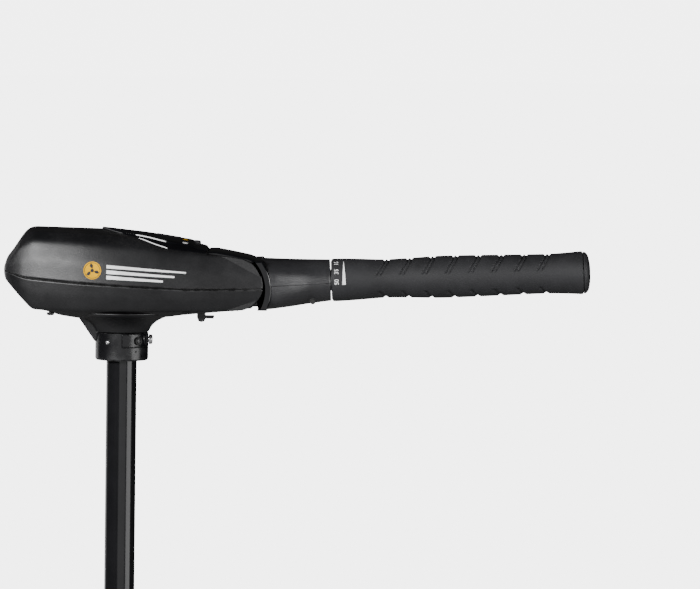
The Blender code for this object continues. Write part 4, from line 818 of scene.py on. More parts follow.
def arm_half(upper, rows=61, columns=110):
    """One half of the arm. y = a*sgn(c)|c|^(2/n) and z = m + b*sgn(s)|s|^(2/n) for an angle between the
    two seams; each row starts where it is ARM_SWING from the tilt pin, so the end is a hollow arc."""
    lengths = np.linspace(ARM_X[0], ARM_X[-1], 140)
    lines = {name: blurred(np.interp(lengths, ARM_X, values), 6.0, 0) for name, values in ARM_LINES.items()}
    share = np.linspace(0, 1, rows)[None, :]

    def section(x):
        width, high, low, power = (np.interp(x, lengths, lines[k]) for k in ("width", "top", "bottom", "power"))
        mid, tall = (high + low) / 2, (high - low) / 2
        start = -np.arcsin(((mid - ARM_SEAM) / tall) ** (power / 2))
        angle = start + (np.pi - 2 * start) * share if upper else start - (np.pi + 2 * start) * share
        c, s = np.cos(angle), np.sin(angle)
        y = width * np.sign(c) * np.abs(c) ** (2 / power)
        z = mid + tall * np.sign(s) * np.abs(s) ** (2 / power)
        return y, z

    start_x = np.full((1, rows), 0.036)
    for _ in range(12):
        start_x = np.sqrt(np.maximum(ARM_SWING**2 - section(start_x)[1] ** 2, 0.024**2))
    x = start_x + (ARM_X[-1] - start_x) * np.linspace(0, 1, columns)[:, None]
    y, z = section(x)
    points = np.stack([x, y, z], -1)
    near_start = np.clip(1 - (x - start_x) / 0.0010, 0, 1)
    near_end = np.clip(1 - (ARM_X[-1] - x) / 0.0010, 0, 1)
    centre = np.array([0.0, 0.0, 0.0037])
    pull = 0.018 * (near_start**2 + near_end**2)[..., None]
    points = points + (centre - points) * pull * np.array([0.0, 1.0, 1.0])
    points[:, [0, -1], 2] += 0.0002 if upper else -0.0002
    return points, grid_quads(columns, rows)


for name, upper in (("arm_upper", True), ("arm_lower", False)):
    half_part = arm_half(upper)
    lips = lip_parts(half_part)
    shell = piece(
        name, [moved(p, in_tiller) for p in [half_part, *lips]], 50.0,
        inside=in_tiller(np.array([0.06, 0, 0.003])),
    )
    thicken(finish_piece(shell, "tiller_arm", ARM_PLASTIC, name + "_shell"), ARM_WALL)

# A dark strip just inside each side of the arm's seam: painted shade, so the gap between the two halves looks
# shaded.
arm_shade_x = np.linspace(0.0440, 0.0930, 40)
arm_shade_strips = []
for side in (-1, 1):
    y = side * (np.interp(arm_shade_x, ARM_X, ARM_LINES["width"]) - 0.0032)
    rows = [np.stack([arm_shade_x, y, np.full(40, ARM_SEAM + lift)], -1) for lift in (-0.002, 0.002)]
    arm_shade_strips.append(moved((np.stack(rows, 1), grid_quads(40, 2)), in_tiller))
finish_piece(piece("arm_seam_liner", arm_shade_strips), "tiller_arm", PAINTED_SHADE_AND_PRINT)

# %% [markdown]
# ## The grip
#
# The sleeve is soft rubber over a hard core. Seen along its length it swells for the palm, narrows and
# swells again. Rows of slanted double slots run over the top and under the bottom, so wet fingers hold.
# The radius is a smooth line along the grip, less the depth of the slots, which is a product of three
# bumps: one across the slot, one along it, and a shift that slants it.

# %% The grip's sleeve
GRIP_X = (0.0965, 0.1000, 0.1200, 0.1430, 0.1650, 0.1920, 0.2150, 0.2420, 0.2700, 0.2910, 0.3050, 0.3195)
GRIP_R = (0.0190, 0.0192, 0.0184, 0.0169, 0.0176, 0.0189, 0.0187, 0.0183, 0.0178, 0.0176, 0.0183, 0.0193)
GRIP_AXIS = float(np.dot(np.array(JOINTS["grip_twist"]["pos_m"]) - PIVOT, UP))
SLOT_START, SLOT_STEP, SLOT_COUNT = 0.1378, 0.0204, 8


def bump(distance, reach):
    """1 in the middle, 0 beyond reach, with smooth shoulders: cos^2 of the distance."""
    return np.where(np.abs(distance) < reach, np.cos(0.5 * np.pi * distance / reach) ** 2, 0.0)


def grip_radius(x, angle):
    """angle is 0 on the near side and 90 degrees on top; the far side mirrors the near side."""
    base = np.interp(x, *GRIP_LINE)
    height = np.degrees(np.arcsin(np.sin(angle)))
    upper_run = np.clip((height - 12) / 8, 0, 1)
    lower_run = np.clip((-height - 36) / 8, 0, 1)
    upper_shift = 0.0078 * np.clip((height - 12) / 48, 0, 1)
    lower_shift = 0.0062 * np.clip((-height - 36) / 36, 0, 1)
    depth = np.zeros(np.broadcast(x, angle).shape)
    for i in range(SLOT_COUNT):
        start = SLOT_START + i * SLOT_STEP
        for offset in (-0.0017, 0.0017):
            depth += 0.0014 * bump(x - start - upper_shift - offset, 0.0018) * upper_run
        depth += 0.0015 * bump(x - start - lower_shift, 0.0030) * lower_run
    return base - depth


fine_x = np.linspace(GRIP_X[0], GRIP_X[-1], 400)
GRIP_LINE = (fine_x, blurred(np.interp(fine_x, GRIP_X, GRIP_R), 11.0, 0))
sleeve_x = np.linspace(GRIP_X[0], GRIP_X[-1], 430)[:, None]
sleeve_angle = np.linspace(0, 2 * np.pi, 168, endpoint=False)[None, :]
sleeve_r = grip_radius(sleeve_x, sleeve_angle)
edge_in = 0.0010 * (np.exp(-(sleeve_x - GRIP_X[0]) / 0.0006) + 0.6 * np.exp(-(GRIP_X[-1] - sleeve_x) / 0.0005))
sleeve_r = sleeve_r - edge_in


def round_grip(x, r, angle):
    """Round the grip's axis: 0 faces -Y, and 90 degrees faces up."""
    y, z = -r * np.cos(angle), GRIP_AXIS + r * np.sin(angle)
    return np.stack([np.broadcast_to(x, y.shape), y, z], -1)


outer_sleeve = round_grip(sleeve_x, sleeve_r, sleeve_angle)
ends = []
for index, inner in ((0, 0.0174), (-1, 0.0130)):
    rim_r = np.stack([sleeve_r[index], np.full(168, inner)])
    ends.append((round_grip(sleeve_x[index], rim_r, sleeve_angle), grid_quads(2, 168, False, True)))
bore = round_grip(
    np.array([[GRIP_X[0]], [GRIP_X[0] + 0.003], [GRIP_X[0] + 0.003], [GRIP_X[-1]]]),
    np.array([[0.0174], [0.0174], [0.0130], [0.0130]]), sleeve_angle,
)
sleeve_parts = [
    (outer_sleeve, grid_quads(430, 168, False, True)), *ends, (bore, grid_quads(4, 168, False, True)),
]
sleeve = piece("grip_sleeve_rubber", [moved(p, in_tiller) for p in sleeve_parts], 60.0)
finish_piece(sleeve, "grip", GRIP_RUBBER, "grip_sleeve")

# %% The end cap, the core and the bright tube
ON_GRIP = (0.0, 0.0, GRIP_AXIS)
cap = [(0.0, 0.3263), (0.0080, 0.3261), (0.0150, 0.3248), (0.0180, 0.3228), (0.0189, 0.3200), (0.0125, 0.3198)]
cap += [(0.0125, 0.3173), (0.0, 0.3173)]
turned("grip_end_cap", "grip", GRIP_RUBBER, ["grip_cap"], cap, "X", ON_GRIP, place=in_tiller, radius=0.0016)
core = [
    (0.0127, 0.3168), (0.0127, 0.0996), (0.0171, 0.0996), (0.0171, 0.0959), (0.0099, 0.0959), (0.0099, 0.3168),
]
how = {"place": in_tiller, "radius": 0.0004, "ring": True}
turned("grip_core_tube", "grip", KNOB_NYLON, ["grip_core"], core, "X", ON_GRIP, **how)


def keyed(angle, r, h):
    """A shallow flat-bottomed groove along the side of the tube that faces the near side."""
    turn = np.angle(np.exp(1j * (angle - np.pi)))
    depth = 0.0007 * np.clip((0.15 - np.abs(turn)) / 0.04, 0, 1)
    return np.where(r > 0.0090, r - depth, r)


tube = [
    (0.0095, 0.3000), (0.0095, 0.0600), (0.0034, 0.0600), (0.0034, 0.0705), (0.0080, 0.0730), (0.0080, 0.3000),
]
how = {"place": in_tiller, "sides": 144, "radius": 0.0005, "ring": True, "shape": keyed}
turned("telescoping_tube", "tiller_tube_body", TUBE_BRIGHT, ["tiller_tube"], tube, "X", ON_GRIP, **how)

# %% [markdown]
# ## Marks
#
# The head carries a plain generic roundel with a small three-bladed propeller and some stripes. Flat marks
# are laid on the skin: every point keeps its place seen from the side, and its depth is read from the skin,
# plus a tenth of a millimetre so that it stands clear.


# %% Lay flat shapes on the head's side
def skin_depth(x, z):
    """Half width of the cover's skin at a place seen from the side, read along each section."""
    side = ROWS - 1
    sections = at_stations(cover_skin[:, side:], np.reshape(x, (-1, 1)))
    flat = [np.interp(-h, -section[:, 2], section[:, 1]) for h, section in zip(np.ravel(z), sections)]
    return np.reshape(flat, np.shape(x))


def filled_grid(left, right, columns):
    """A patch between two edge lines: each row goes straight from a point on one to a point on the other."""
    t = np.linspace(0, 1, columns)[:, None]
    across = left[:, None, :] * (1 - t[None]) + right[:, None, :] * t[None]
    return across.reshape(-1, 2), grid_quads(len(left), columns)


def disc(centre, low, high, rings=10, sides=64):
    """A ring of quads between two radii; low 0 gives a whole disc."""
    r = np.linspace(low, high, rings)[:, None]
    a = np.linspace(0, 2 * np.pi, sides, endpoint=False)[None, :]
    flat = np.stack([centre[0] + r * np.cos(a), centre[1] + r * np.sin(a)], -1)
    return flat.reshape(-1, 2), grid_quads(rings, sides, False, True)


def on_side(flat, side, lift):
    x, z = flat[:, 0], flat[:, 1]
    return in_head(np.stack([x, side * (skin_depth(x, z) + lift), z], -1))


def stripe(low_left, low_right, high_left, high_right):
    left = np.stack([np.linspace(low_left[0], high_left[0], 6), np.linspace(low_left[1], high_left[1], 6)], -1)
    right = np.stack(
        [np.linspace(low_right[0], high_right[0], 6), np.linspace(low_right[1], high_right[1], 6)], -1,
    )
    return filled_grid(left, right, columns=60)


ROUNDEL = (-0.0240, 0.0824)
blade_shapes = []
for turn in (90, 210, 330):
    t = np.linspace(0, 1, 14)
    reach = 0.0012 + 0.0052 * t
    lead = np.radians(turn + 26 * np.sin(np.pi * t) + 10 * t)
    trail = np.radians(turn - 14 * np.sin(np.pi * t) + 10 * t)
    edges = [np.stack(
        [ROUNDEL[0] + reach * np.cos(a), ROUNDEL[1] + reach * np.sin(a)], -1,
    ) for a in (lead, trail)]
    blade_shapes.append(filled_grid(*edges, columns=8))
stripes = [
    stripe((-0.0115, 0.0845), (0.0580, 0.0803), (-0.0115, 0.0874), (0.0580, 0.0816)),
    stripe((-0.0115, 0.0797), (0.0480, 0.0764), (-0.0115, 0.0829), (0.0480, 0.0780)),
    stripe((-0.0115, 0.0749), (0.0380, 0.0725), (-0.0115, 0.0781), (0.0380, 0.0742)),
]
inside = in_head(np.array([0.0, 0.0, 0.08]))
MARKS = (
    ("roundel", MARK_YELLOW, 0.00012, [disc(ROUNDEL, 0.0, 0.0078)]),
    (
        "roundel_blades",
        PAINTED_SHADE_AND_PRINT,
        0.00020,
        [*blade_shapes, disc(ROUNDEL, 0.0, 0.0015, 4, 24), disc(ROUNDEL, 0.0066, 0.0070, 3)],
    ),
    ("stripes", MARK_WHITE, 0.00012, stripes),
)
for side, tag in ((-1, "near"), (1, "far")):
    for name, look, lift, shapes in MARKS:
        laid = [(on_side(flat, side, lift), faces) for flat, faces in shapes]
        finish_piece(piece(f"{name}_{tag}", laid, inside=inside), "motor", look)

# %% [markdown]
# ## The button and the meter's window
#
# A push button and a smoked window sit in the panel. The button is turned, with a dished top that a thumb
# finds. The window is a thin smoked pane that follows the skin about two millimetres above it, with a
# bevelled rim.


# %% Softened copies and turned fittings
def softened(node, name, body, look, width=0.0006, segments=3):
    """A copy of a plain node: doubles merged, flat faces joined, and sharp edges rounded by a bevel."""
    source = frame["nodes"][node]
    mesh = source.data.copy()
    mesh.transform(source.matrix_world)
    bm = bmesh.new()
    bm.from_mesh(mesh)
    bmesh.ops.remove_doubles(bm, verts=bm.verts, dist=MERGE)
    bmesh.ops.dissolve_limit(bm, angle_limit=math.radians(1.0), verts=bm.verts, edges=bm.edges)
    bmesh.ops.recalc_face_normals(bm, faces=bm.faces)
    bm.to_mesh(mesh)
    bm.free()
    mesh.shade_smooth()
    mesh.set_sharp_from_angle(angle=math.radians(30))
    obj = bpy.data.objects.new(name, mesh)
    bpy.context.scene.collection.objects.link(obj)
    bevel = obj.modifiers.new("rounded edges", "BEVEL")
    bevel.width = width
    bevel.segments = segments
    bevel.limit_method = "ANGLE"
    bevel.angle_limit = math.radians(32)
    bevel.harden_normals = False
    return finish_piece(obj, body, look, node)


low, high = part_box("meter_button")
spot = ((low[0] + high[0]) / 2, 0.0, high[2] - 0.0022)
button = [(0.0, -0.0007), (0.0030, -0.0003), (0.0043, 0.0), (0.0054, -0.0008), (0.0056, -0.0022)]
button += [(0.0056, -0.0070), (0.0, -0.0070)]
turned("check_button_cap", "check_button", GRIP_RUBBER, ["meter_button"], button, at=spot, radius=0.0004)
lens_x, lens_y = np.linspace(0.0300, 0.0520, 60)[:, None], np.linspace(-0.0070, 0.0070, 40)[None, :]
to_edge = np.minimum(np.minimum(lens_x - 0.0300, 0.0520 - lens_x), 0.0070 - np.abs(lens_y))
lens_z = skin_z(cover_skin, np.broadcast_to(lens_x, to_edge.shape), np.broadcast_to(lens_y, to_edge.shape))
lens_z = lens_z + np.interp(to_edge, (0.0, 0.0006, 0.0011, 0.0018), (0.0010, 0.0020, 0.0020, 0.0017))
lens_points = np.stack([*np.broadcast_arrays(lens_x, lens_y), lens_z], -1)
lens = piece("charge_window", [moved((lens_points, grid_quads(60, 40)), in_head)], 30.0, inside=HEAD)
finish_piece(lens, "motor", LENS, "meter_window")

# %% The two small marks beside the window
mark_points, mark_faces = disc((0.0, 0.0), 0.0, 0.0016, 5, 28)
for name, x, y, look in (
    ("mark_charge", 0.0560, -0.0110, MARK_YELLOW), ("mark_ready", 0.0565, -0.0290, MARK_WHITE),
):
    px, py = mark_points[:, :1] * 1.6 + x, mark_points[:, 1:] * 1.5 + y
    reach = np.interp(px, *PANEL_HALF)
    pz = skin_z(cover_skin, px, py) + 0.0002 + panel_height(py / reach)
    finish_piece(
        piece(name, [(in_head(np.concatenate([px, py, pz], 1)), mark_faces)], inside=HEAD), "motor", look,
    )

# %% [markdown]
# ## The collar and the shaft
#
# The collar clamps the shaft's top. A curved plate is let into its near side, and a bolt runs through
# under the plate. A flat slab is bent round the collar: its length becomes an angle, s / R, and its
# thickness becomes a radius.


# %% Bend flat parts round a vertical axis
def bent(radius):
    def place(points):
        turn, r = points[..., :1] / radius, radius - points[..., 1:2]
        return HEAD + np.concatenate([r * np.sin(turn), -r * np.cos(turn), points[..., 2:]], -1)

    return place


COLLAR_R, PLATE_LOW, PLATE_HIGH = 0.0236, 0.0118, 0.0240


def recessed(angle, r, h):
    """A shallow window for the plate, from just past the near side round to the right."""
    turn = np.degrees(np.angle(np.exp(1j * (angle + np.pi / 2))))
    inside = (turn > 3.0) & (turn < 86.0) & (h > PLATE_LOW) & (h < PLATE_HIGH)
    return np.where(inside & (r > 0.0220), r - 0.0016, r)


outer_wall = [(COLLAR_R, h) for h in np.concatenate([np.linspace(0.0238, 0.0121, 3), [0.0117, 0.0060, 0.0014]])]
collar = [(0.0139, 0.0246), (0.0230, 0.0246), (COLLAR_R, 0.0242), *outer_wall, (0.0226, 0.0), (0.0139, 0.0)]
how = {"sharp": 30.0, "sides": 288, "ring": True, "shape": recessed}
turned("collar_ring", "motor", COLLAR_BLACK, ["shaft_collar"], collar, at=HEAD, **how)
PLATE_START, PLATE_END, PLATE_GAP = 0.0015, 0.0347, 0.0004
plate_low, plate_high = PLATE_LOW + PLATE_GAP, PLATE_HIGH - PLATE_GAP
plate_outline = [
    (PLATE_START, plate_low), (PLATE_END, plate_low), (PLATE_END, plate_high), (PLATE_START, plate_high),
]
fine = rounded(plate_outline, 0.0010, 4, True)
dense = np.concatenate([np.linspace(a, b, 14, endpoint=False) for a, b in zip(fine, np.roll(fine, -1, axis=0))])
plate = slab(dense, -0.0002, 0.0012, 0.0004)
finish_piece(piece("collar_cover_plate", [moved(plate, bent(COLLAR_R))]), "motor", COLLAR_BLACK, "collar_plate")

# %% Screws in and round the collar


def pan_head(radius, height, socket=0.5):
    """A screw's head: a shallow dome with a recess, as a (radius, height) profile closed at both ends."""
    return [
        (0.0, height * 0.25),
        (radius * socket * 0.9, height * 0.25),
        (radius * socket, height * 0.98),
        (radius * 0.82, height * 0.86),
        (radius, height * 0.45),
        (radius, -height * 0.6),
        (0.0, -height * 0.6),
    ]


def facing_out(profile, s, z, lift, sides=40):
    """A turned part whose top faces away from the collar at arc length s and height z."""
    part = lathe([(r, -(h + lift)) for r, h in profile], "Y", (s, 0.0, z), sides, radius=0.0002)
    return moved(part, bent(COLLAR_R))


# WELL and DRAIN are shallow dark dishes: painted shade for the recess round the plate screw and for the inside
# of the drain hole.
WELL = ((0.0, 0.00002), (0.0029, 0.00002), (0.0032, 0.0003), (0.0036, 0.0002), (0.0037, -0.0002))
DRAIN = ((0.0, 0.00005), (0.0010, 0.00005), (0.0011, -0.0002))
PLATE_SCREW = (0.0177, 0.0176, 0.0002)
SET_SCREW = (-0.0121, 0.0163, 0.0001)
for name, look, part in (
    ("plate_screw_well", PAINTED_SHADE_AND_PRINT, facing_out(WELL, *PLATE_SCREW)),
    ("plate_screw", COLLAR_BLACK, facing_out(pan_head(0.0021, 0.0005), *PLATE_SCREW)),
    ("collar_set_screw", STEEL_Y, facing_out(pan_head(0.0018, 0.0012), *SET_SCREW)),
    ("collar_drain_hole", PAINTED_SHADE_AND_PRINT, facing_out(DRAIN, 0.0143, 0.0084, 0.0001, 20)),
):
    finish_piece(piece(name, [part]), "motor", look)
bolt = [(0.0, 0.0262), (0.0021, 0.0262), (0.0023, 0.0274), (0.0036, 0.0272), (0.0044, 0.0264), (0.0044, 0.0240)]
bolt += [(0.0026, 0.0240), (0.0026, 0.0143), (0.0, 0.0143)]
bolt_at = HEAD + np.array([0.0, 0.0, 0.0183])
turned("clamp_bolt", "motor", STEEL_X, ["collar_bolt"], bolt, "X", bolt_at, sides=48, radius=0.0003)

# %% The shaft
SHAFT_R, SHAFT_BORE = 0.0135, 0.0105
shaft = [(SHAFT_BORE, SHAFT_HIGH[2]), (SHAFT_R, SHAFT_HIGH[2])]
shaft += [(SHAFT_R, z) for z in np.linspace(SHAFT_HIGH[2] - 0.02, SHAFT_LOW[2] + 0.02, 24)]
shaft += [(SHAFT_R, SHAFT_LOW[2]), (SHAFT_BORE, SHAFT_LOW[2])]
ON_SHAFT = (HEAD[0], 0.0, 0.0)
how = {"sides": 128, "radius": 0.0005, "ring": True}
turned("shaft_tube", "motor", SHAFT_COMPOSITE, ["shaft"], shaft, at=ON_SHAFT, **how)

# %% The head's lower fittings
gland = [
    (0.0058, 0.0470), (0.0058, 0.0383), (0.0090, 0.0383), (0.0090, 0.0352), (0.0082, 0.0347), (0.0082, 0.0336),
]
gland += [(0.0088, 0.0330), (0.0086, 0.0312), (0.0078, 0.0306), (0.0078, 0.0295), (0.0082, 0.0288)]
gland += [(0.0070, 0.0270), (0.0036, 0.0270), (0.0036, 0.0470)]
how = {"at": HEAD + np.array([0.0, 0.034, 0.0]), "sides": 64, "radius": 0.0003, "ring": True}
turned("cable_grommet", "motor", GRIP_RUBBER, ["cable_gland"], gland, **how)
softened("tilt_release_lever", "tilt_release", "tilt_trigger", ARM_PLASTIC, 0.0006)
for i in range(1, 5):
    low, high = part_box(f"housing_screw_{i}")
    x, y = (low[0] + high[0]) / 2, (low[1] + high[1]) / 2
    head_profile = [(r, -h) for r, h in pan_head(0.0033, 0.0016)]
    screw = lathe(head_profile, at=(x, y, low[2] + 0.0016), sides=40, radius=0.0002)
    stem = lathe([(0.0016, low[2] + 0.0022), (0.0016, high[2]), (0.0, high[2])], at=(x, y, 0), sides=20)
    finish_piece(piece(f"head_screw_{i}", [screw, stem]), "motor", COLLAR_BLACK, f"housing_screw_{i}")

# %% Two screw wells in the belly's near slope
for number, x, y in ((1, 0.0585, -0.0385), (2, 0.1010, -0.0325)):
    # Each well is a dark disc laid on the skin: painted shade for the screw's recess. The rim round it is a
    # real raised ring.
    for name, low, high, look, lift in (
        ("well", 0.0, 0.0034, PAINTED_SHADE_AND_PRINT, 0.0001), ("rim", 0.0034, 0.0040, COLLAR_BLACK, 0.0005),
    ):
        flat, faces = disc((x, y), low, high, 6, 40)
        z = skin_z(housing_skin, flat[:, :1], flat[:, 1:]) - lift
        points = in_head(np.concatenate([flat, z], 1))
        finish_piece(
            piece(f"belly_{name}_{number}", [(points, faces)], inside=in_head(np.array([0.05, 0, 0.08]))),
            "motor", look,
        )

# %% [markdown]
# ## The motor under the water
#
# The motor is a tube between two castings. The nose is a superellipse turned round the axis,
# r = R (1 - t^n)^(1/n), blunt enough to push weed aside. The socket that takes the shaft and the fin
# below both grow out of the nose with a fillet. Each fillet is an extra width that dies away as
# exp(-distance / reach) from the round body.

# %% The nose casting
POD_R = 0.046
t = np.sin(np.linspace(np.pi / 2, 0, 40))
nose = [(POD_R * (1 - k**2.3) ** (1 / 2.3), 0.036 + 0.069 * k) for k in t]
nose_profile = [
    *nose, *[(POD_R, x) for x in np.linspace(0.034, -0.028, 24)], (POD_R, -0.0290), (POD_R - 0.0010, -0.0299),
    (0.0425, -0.0299), (0.0425, 0.030), (0.030, 0.060), (0.0, 0.070),
]
socket_height = np.concatenate([np.linspace(0.0300, 0.0700, 46), [0.0700, 0.0460]])
socket_r = np.concatenate([np.full(46, 0.0205), [0.0141, 0.0141]])
socket_r[45] = 0.0196


def filleted_socket(angle, r, h):
    """The extra radius follows the saddle where the socket meets the body: z = sqrt(R^2 - y^2)."""
    y = 0.0225 * np.sin(angle)
    above = h - np.sqrt(POD_R**2 - y**2)
    return r + np.where(r > 0.0190, 0.0062 * np.exp(-np.clip(above, -0.004, None) / 0.0042), 0.0)


socket = lathe(np.stack([socket_r, socket_height], -1), sides=128, shape=filleted_socket)


def fin_grid(rows=60, columns=48):
    """The fin: leading and trailing edges are lines in x against z. Round each section, the half width is
    thickness * sqrt(sin) * an even swell, so both edges are rounded."""
    z = -0.0340 - 0.0940 * np.sin(np.linspace(0, np.pi / 2, rows))
    lead = np.interp(
        -z, (0.034, 0.0405, 0.062, 0.096, 0.118, 0.1245, 0.1272, 0.128),
        (0.034, 0.030, 0.018, -0.004, -0.020, -0.0275, -0.034, -0.044),
    )
    trail = np.interp(
        -z, (0.034, 0.050, 0.070, 0.100, 0.118, 0.1245, 0.1272, 0.128),
        (-0.0270, -0.0285, -0.050, -0.062, -0.0660, -0.0645, -0.058, -0.0445),
    )
    lead, trail = blurred(lead, 1.6, 0), blurred(trail, 1.6, 0)
    around = np.linspace(0, 2 * np.pi, columns, endpoint=False)[None, :]
    chord = (1 + np.cos(around)) / 2
    x = trail[:, None] + (lead - trail)[:, None] * chord
    root = 0.0052 * np.exp(-np.maximum(-z - 0.0445, 0.0) / 0.0040)[:, None]
    half = (0.0028 + root) * np.sign(np.sin(around)) * np.abs(np.sin(around)) ** 0.55
    tip = np.clip((0.128 + z) / 0.004, 0, 1) ** 0.5
    y = half * tip[:, None]
    return np.stack([x, y, np.broadcast_to(z[:, None], x.shape)], -1), grid_quads(rows, columns, False, True)


nose_body = lathe(nose_profile, "X", MOTOR, 160)
nose_case = piece("nose_casting", [nose_body, moved(socket, in_motor), moved(fin_grid(), in_motor)], 35.0)
finish_piece(nose_case, "motor", MOTOR_PAINT, "brush_end_housing")

# %% The motor's tube and tail casting
TUBE_GROOVE = ((POD_R, 0.0), (0.0456, -0.0004), (0.0456, -0.0016), (POD_R, -0.0020))
tube = [(POD_R, -0.0303), *[(r, -0.0318 + x) for r, x in TUBE_GROOVE]]
tube += [(POD_R, x) for x in np.linspace(-0.0350, -0.1450, 40)]
tube += [*[(r, -0.1462 + x) for r, x in TUBE_GROOVE], (POD_R, -0.1500), (0.0430, -0.1500), (0.0430, -0.0303)]
how = {"sharp": 30.0, "sides": 160, "ring": True}
turned("magnet_tube", "motor", TUBE_PAINT, ["centre_housing"], tube, "X", MOTOR, **how)
TAIL_LINE = (
    (-0.2045, -0.199, -0.190, -0.178, -0.166, -0.1503),
    (0.0235, 0.0275, 0.0360, 0.0430, 0.046, 0.046),
)
tail_x = np.linspace(-0.1503, -0.2045, 40)
tail = [(0.0424, -0.1503), *zip(blurred(np.interp(tail_x, *TAIL_LINE), 2.2, 0), tail_x)]
tail += [(0.0225, -0.2052), (0.0062, -0.2052), (0.0062, -0.1800), (0.0300, -0.1700)]
how = {"sharp": 35.0, "sides": 160, "ring": True}
turned("tail_casting", "motor", MOTOR_PAINT, ["plain_end_housing"], tail, "X", MOTOR, **how)


def hexagonal(angle, r, h):
    """A hexagon's radius: r cos 30 / cos(angle from the middle of the nearest side)."""
    return r * np.cos(np.pi / 6) / np.cos((angle + np.pi / 6) % (np.pi / 3) - np.pi / 6)


BOLT = [(0.0, -0.1945), (0.0030, -0.1945), (0.0034, -0.1935), (0.0034, -0.1870), (0.0, -0.1870)]
BOLT_CIRCLE = 0.0355
bolts = []
for turn in np.radians([45, 135, 225, 315]):
    spot = MOTOR + BOLT_CIRCLE * np.array([0.0, math.cos(turn), math.sin(turn)])
    bolts.append(lathe(BOLT, "X", spot, 36, shape=hexagonal))
finish_piece(piece("through_bolts", bolts, 25.0), "motor", STEEL_X)

# %% [markdown]
# ## The propeller
#
# Two wide swept blades shed weed as they turn. At each radius a blade is an aerofoil section with its own
# chord, pitch and thickness. The section's half thickness goes as sqrt(s) (1 - s) along the chord, round in
# front and sharp behind, about a gently curved middle line. The sections are joined into one skin.

# %% Blades, hub and nut
PROP_FRONT, PROP_BACK = -0.2065, -0.2560
SECTION_R = (0.014, 0.030, 0.055, 0.080, 0.103, 0.119, 0.127)
SECTION = {
    "middle": (-0.2300, -0.2310, -0.2330, -0.2370, -0.2430, -0.2490, -0.2530),
    "chord": (0.0360, 0.0470, 0.0600, 0.0640, 0.0540, 0.0340, 0.0120),
    "pitch": (62.0, 52.0, 40.0, 31.0, 26.0, 23.0, 21.0),
    "thick": (0.0060, 0.0050, 0.0042, 0.0036, 0.0030, 0.0024, 0.0018),
}


def blade_skin(turn, rows=70, columns=56):
    """Points (radius, round the section) as a whole array; the section lies across the blade."""
    r = 0.0140 + (0.1268 - 0.0140) * np.sin(np.linspace(0, np.pi / 2, rows))
    lines = {k: blurred(np.interp(r, SECTION_R, v), 2.5, 0)[:, None] for k, v in SECTION.items()}
    end = np.sqrt(np.clip((0.1270 - r) / 0.006, 0.0008, 1))[:, None]
    around = np.linspace(0, 2 * np.pi, columns, endpoint=False)[None, :]
    s = (1 - np.cos(around)) / 2
    swell = 2.598 * np.sqrt(s) * (1.02 - s) * np.sign(np.sin(around))
    along = lines["chord"] * end * (0.5 - s)
    root = 1 + 0.9 * np.exp(-(r[:, None] - 0.0200) / 0.0050)
    through = lines["thick"] / 2 * root * end * swell + lines["chord"] * 0.055 * 4 * s * (1 - s) * end
    pitch = np.radians(lines["pitch"])
    x = lines["middle"] + along * np.cos(pitch) - through * np.sin(pitch)
    y = along * np.sin(pitch) + through * np.cos(pitch)
    z = np.broadcast_to(r[:, None], x.shape)
    c, d = math.cos(turn), math.sin(turn)
    return np.stack([x, y * c - z * d, y * d + z * c], -1), grid_quads(rows, columns, False, True)


HUB_FRONT = (
    (0.0200, 0.0), (0.0208, 0.0012), (0.0215, 0.007), (0.0214, 0.015), (0.0206, 0.028), (0.0190, 0.040),
)
hub = [(r, PROP_FRONT - h) for r, h in HUB_FRONT]
hub += [(0.0166, PROP_BACK + 0.0008), (0.0158, PROP_BACK), (0.0055, PROP_BACK), (0.0055, PROP_FRONT)]
hub = lathe(hub, "X", sides=128, radius=0.002, ring=True)
first = math.radians(24.0)
propeller_parts = [hub, blade_skin(first), blade_skin(first + math.pi)]
propeller = piece("propeller_blades", [moved(p, in_motor) for p in propeller_parts], 40.0)
finish_piece(propeller, "rotor", PROP_NYLON, "propeller")


def fluted(angle, r, h):
    return r - np.where(r > 0.0080, 0.0009 * (0.5 - 0.5 * np.cos(6 * angle)) ** 2, 0.0)


NUT = ((0.0055, 0.0004), (0.0112, 0.0004), (0.0114, 0.0018), (0.0104, 0.0024), (0.0102, 0.0088))
NUT += ((0.0092, 0.0100), (0.0055, 0.0100))
nut = [(r, PROP_BACK - h) for r, h in NUT]
how = {"sides": 120, "radius": 0.0005, "ring": True, "shape": fluted}
turned("propeller_nut", "rotor", KNOB_NYLON, ["prop_nut"], nut, "X", MOTOR, **how)
axle_low, axle_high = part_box("armature_axle")
axle = [(0.0, axle_high[0]), (0.0045, axle_high[0] - 0.0004), (0.0050, axle_high[0] - 0.0012)]
axle += [(0.0050, axle_low[0] + 0.0010), (0.0042, axle_low[0]), (0.0, axle_low[0])]
turned("rotor_axle", "rotor", STEEL_X, ["armature_axle"], axle, "X", (0.0, 0.0, MOTOR[2]), sides=64)

# %% [markdown]
# ## The transom bracket
#
# The bracket is a powder-coated casting. Its plain solid has the right shape, so a softened copy stands for
# it. The turned pieces, the screws, the knobs and the yoke's sleeve, are made again as fine lathes.

# %% Castings, plates and levers
softened("clamp_bracket", "transom_bracket", "bracket", BRACKET_COAT, 0.0013)
softened("lock_quadrant", "tilt_quadrant", "bracket", STEEL_Y, 0.0003, 2)
softened("release_lever", "tilt_lock_lever", "lock_lever", KNOB_NYLON, 0.0006)
softened("swivel_yoke", "yoke_casting", "yoke", BRACKET_COAT, 0.0010)
softened("depth_collar", "depth_ring_casting", "depth_stop", BRACKET_COAT, 0.0010)


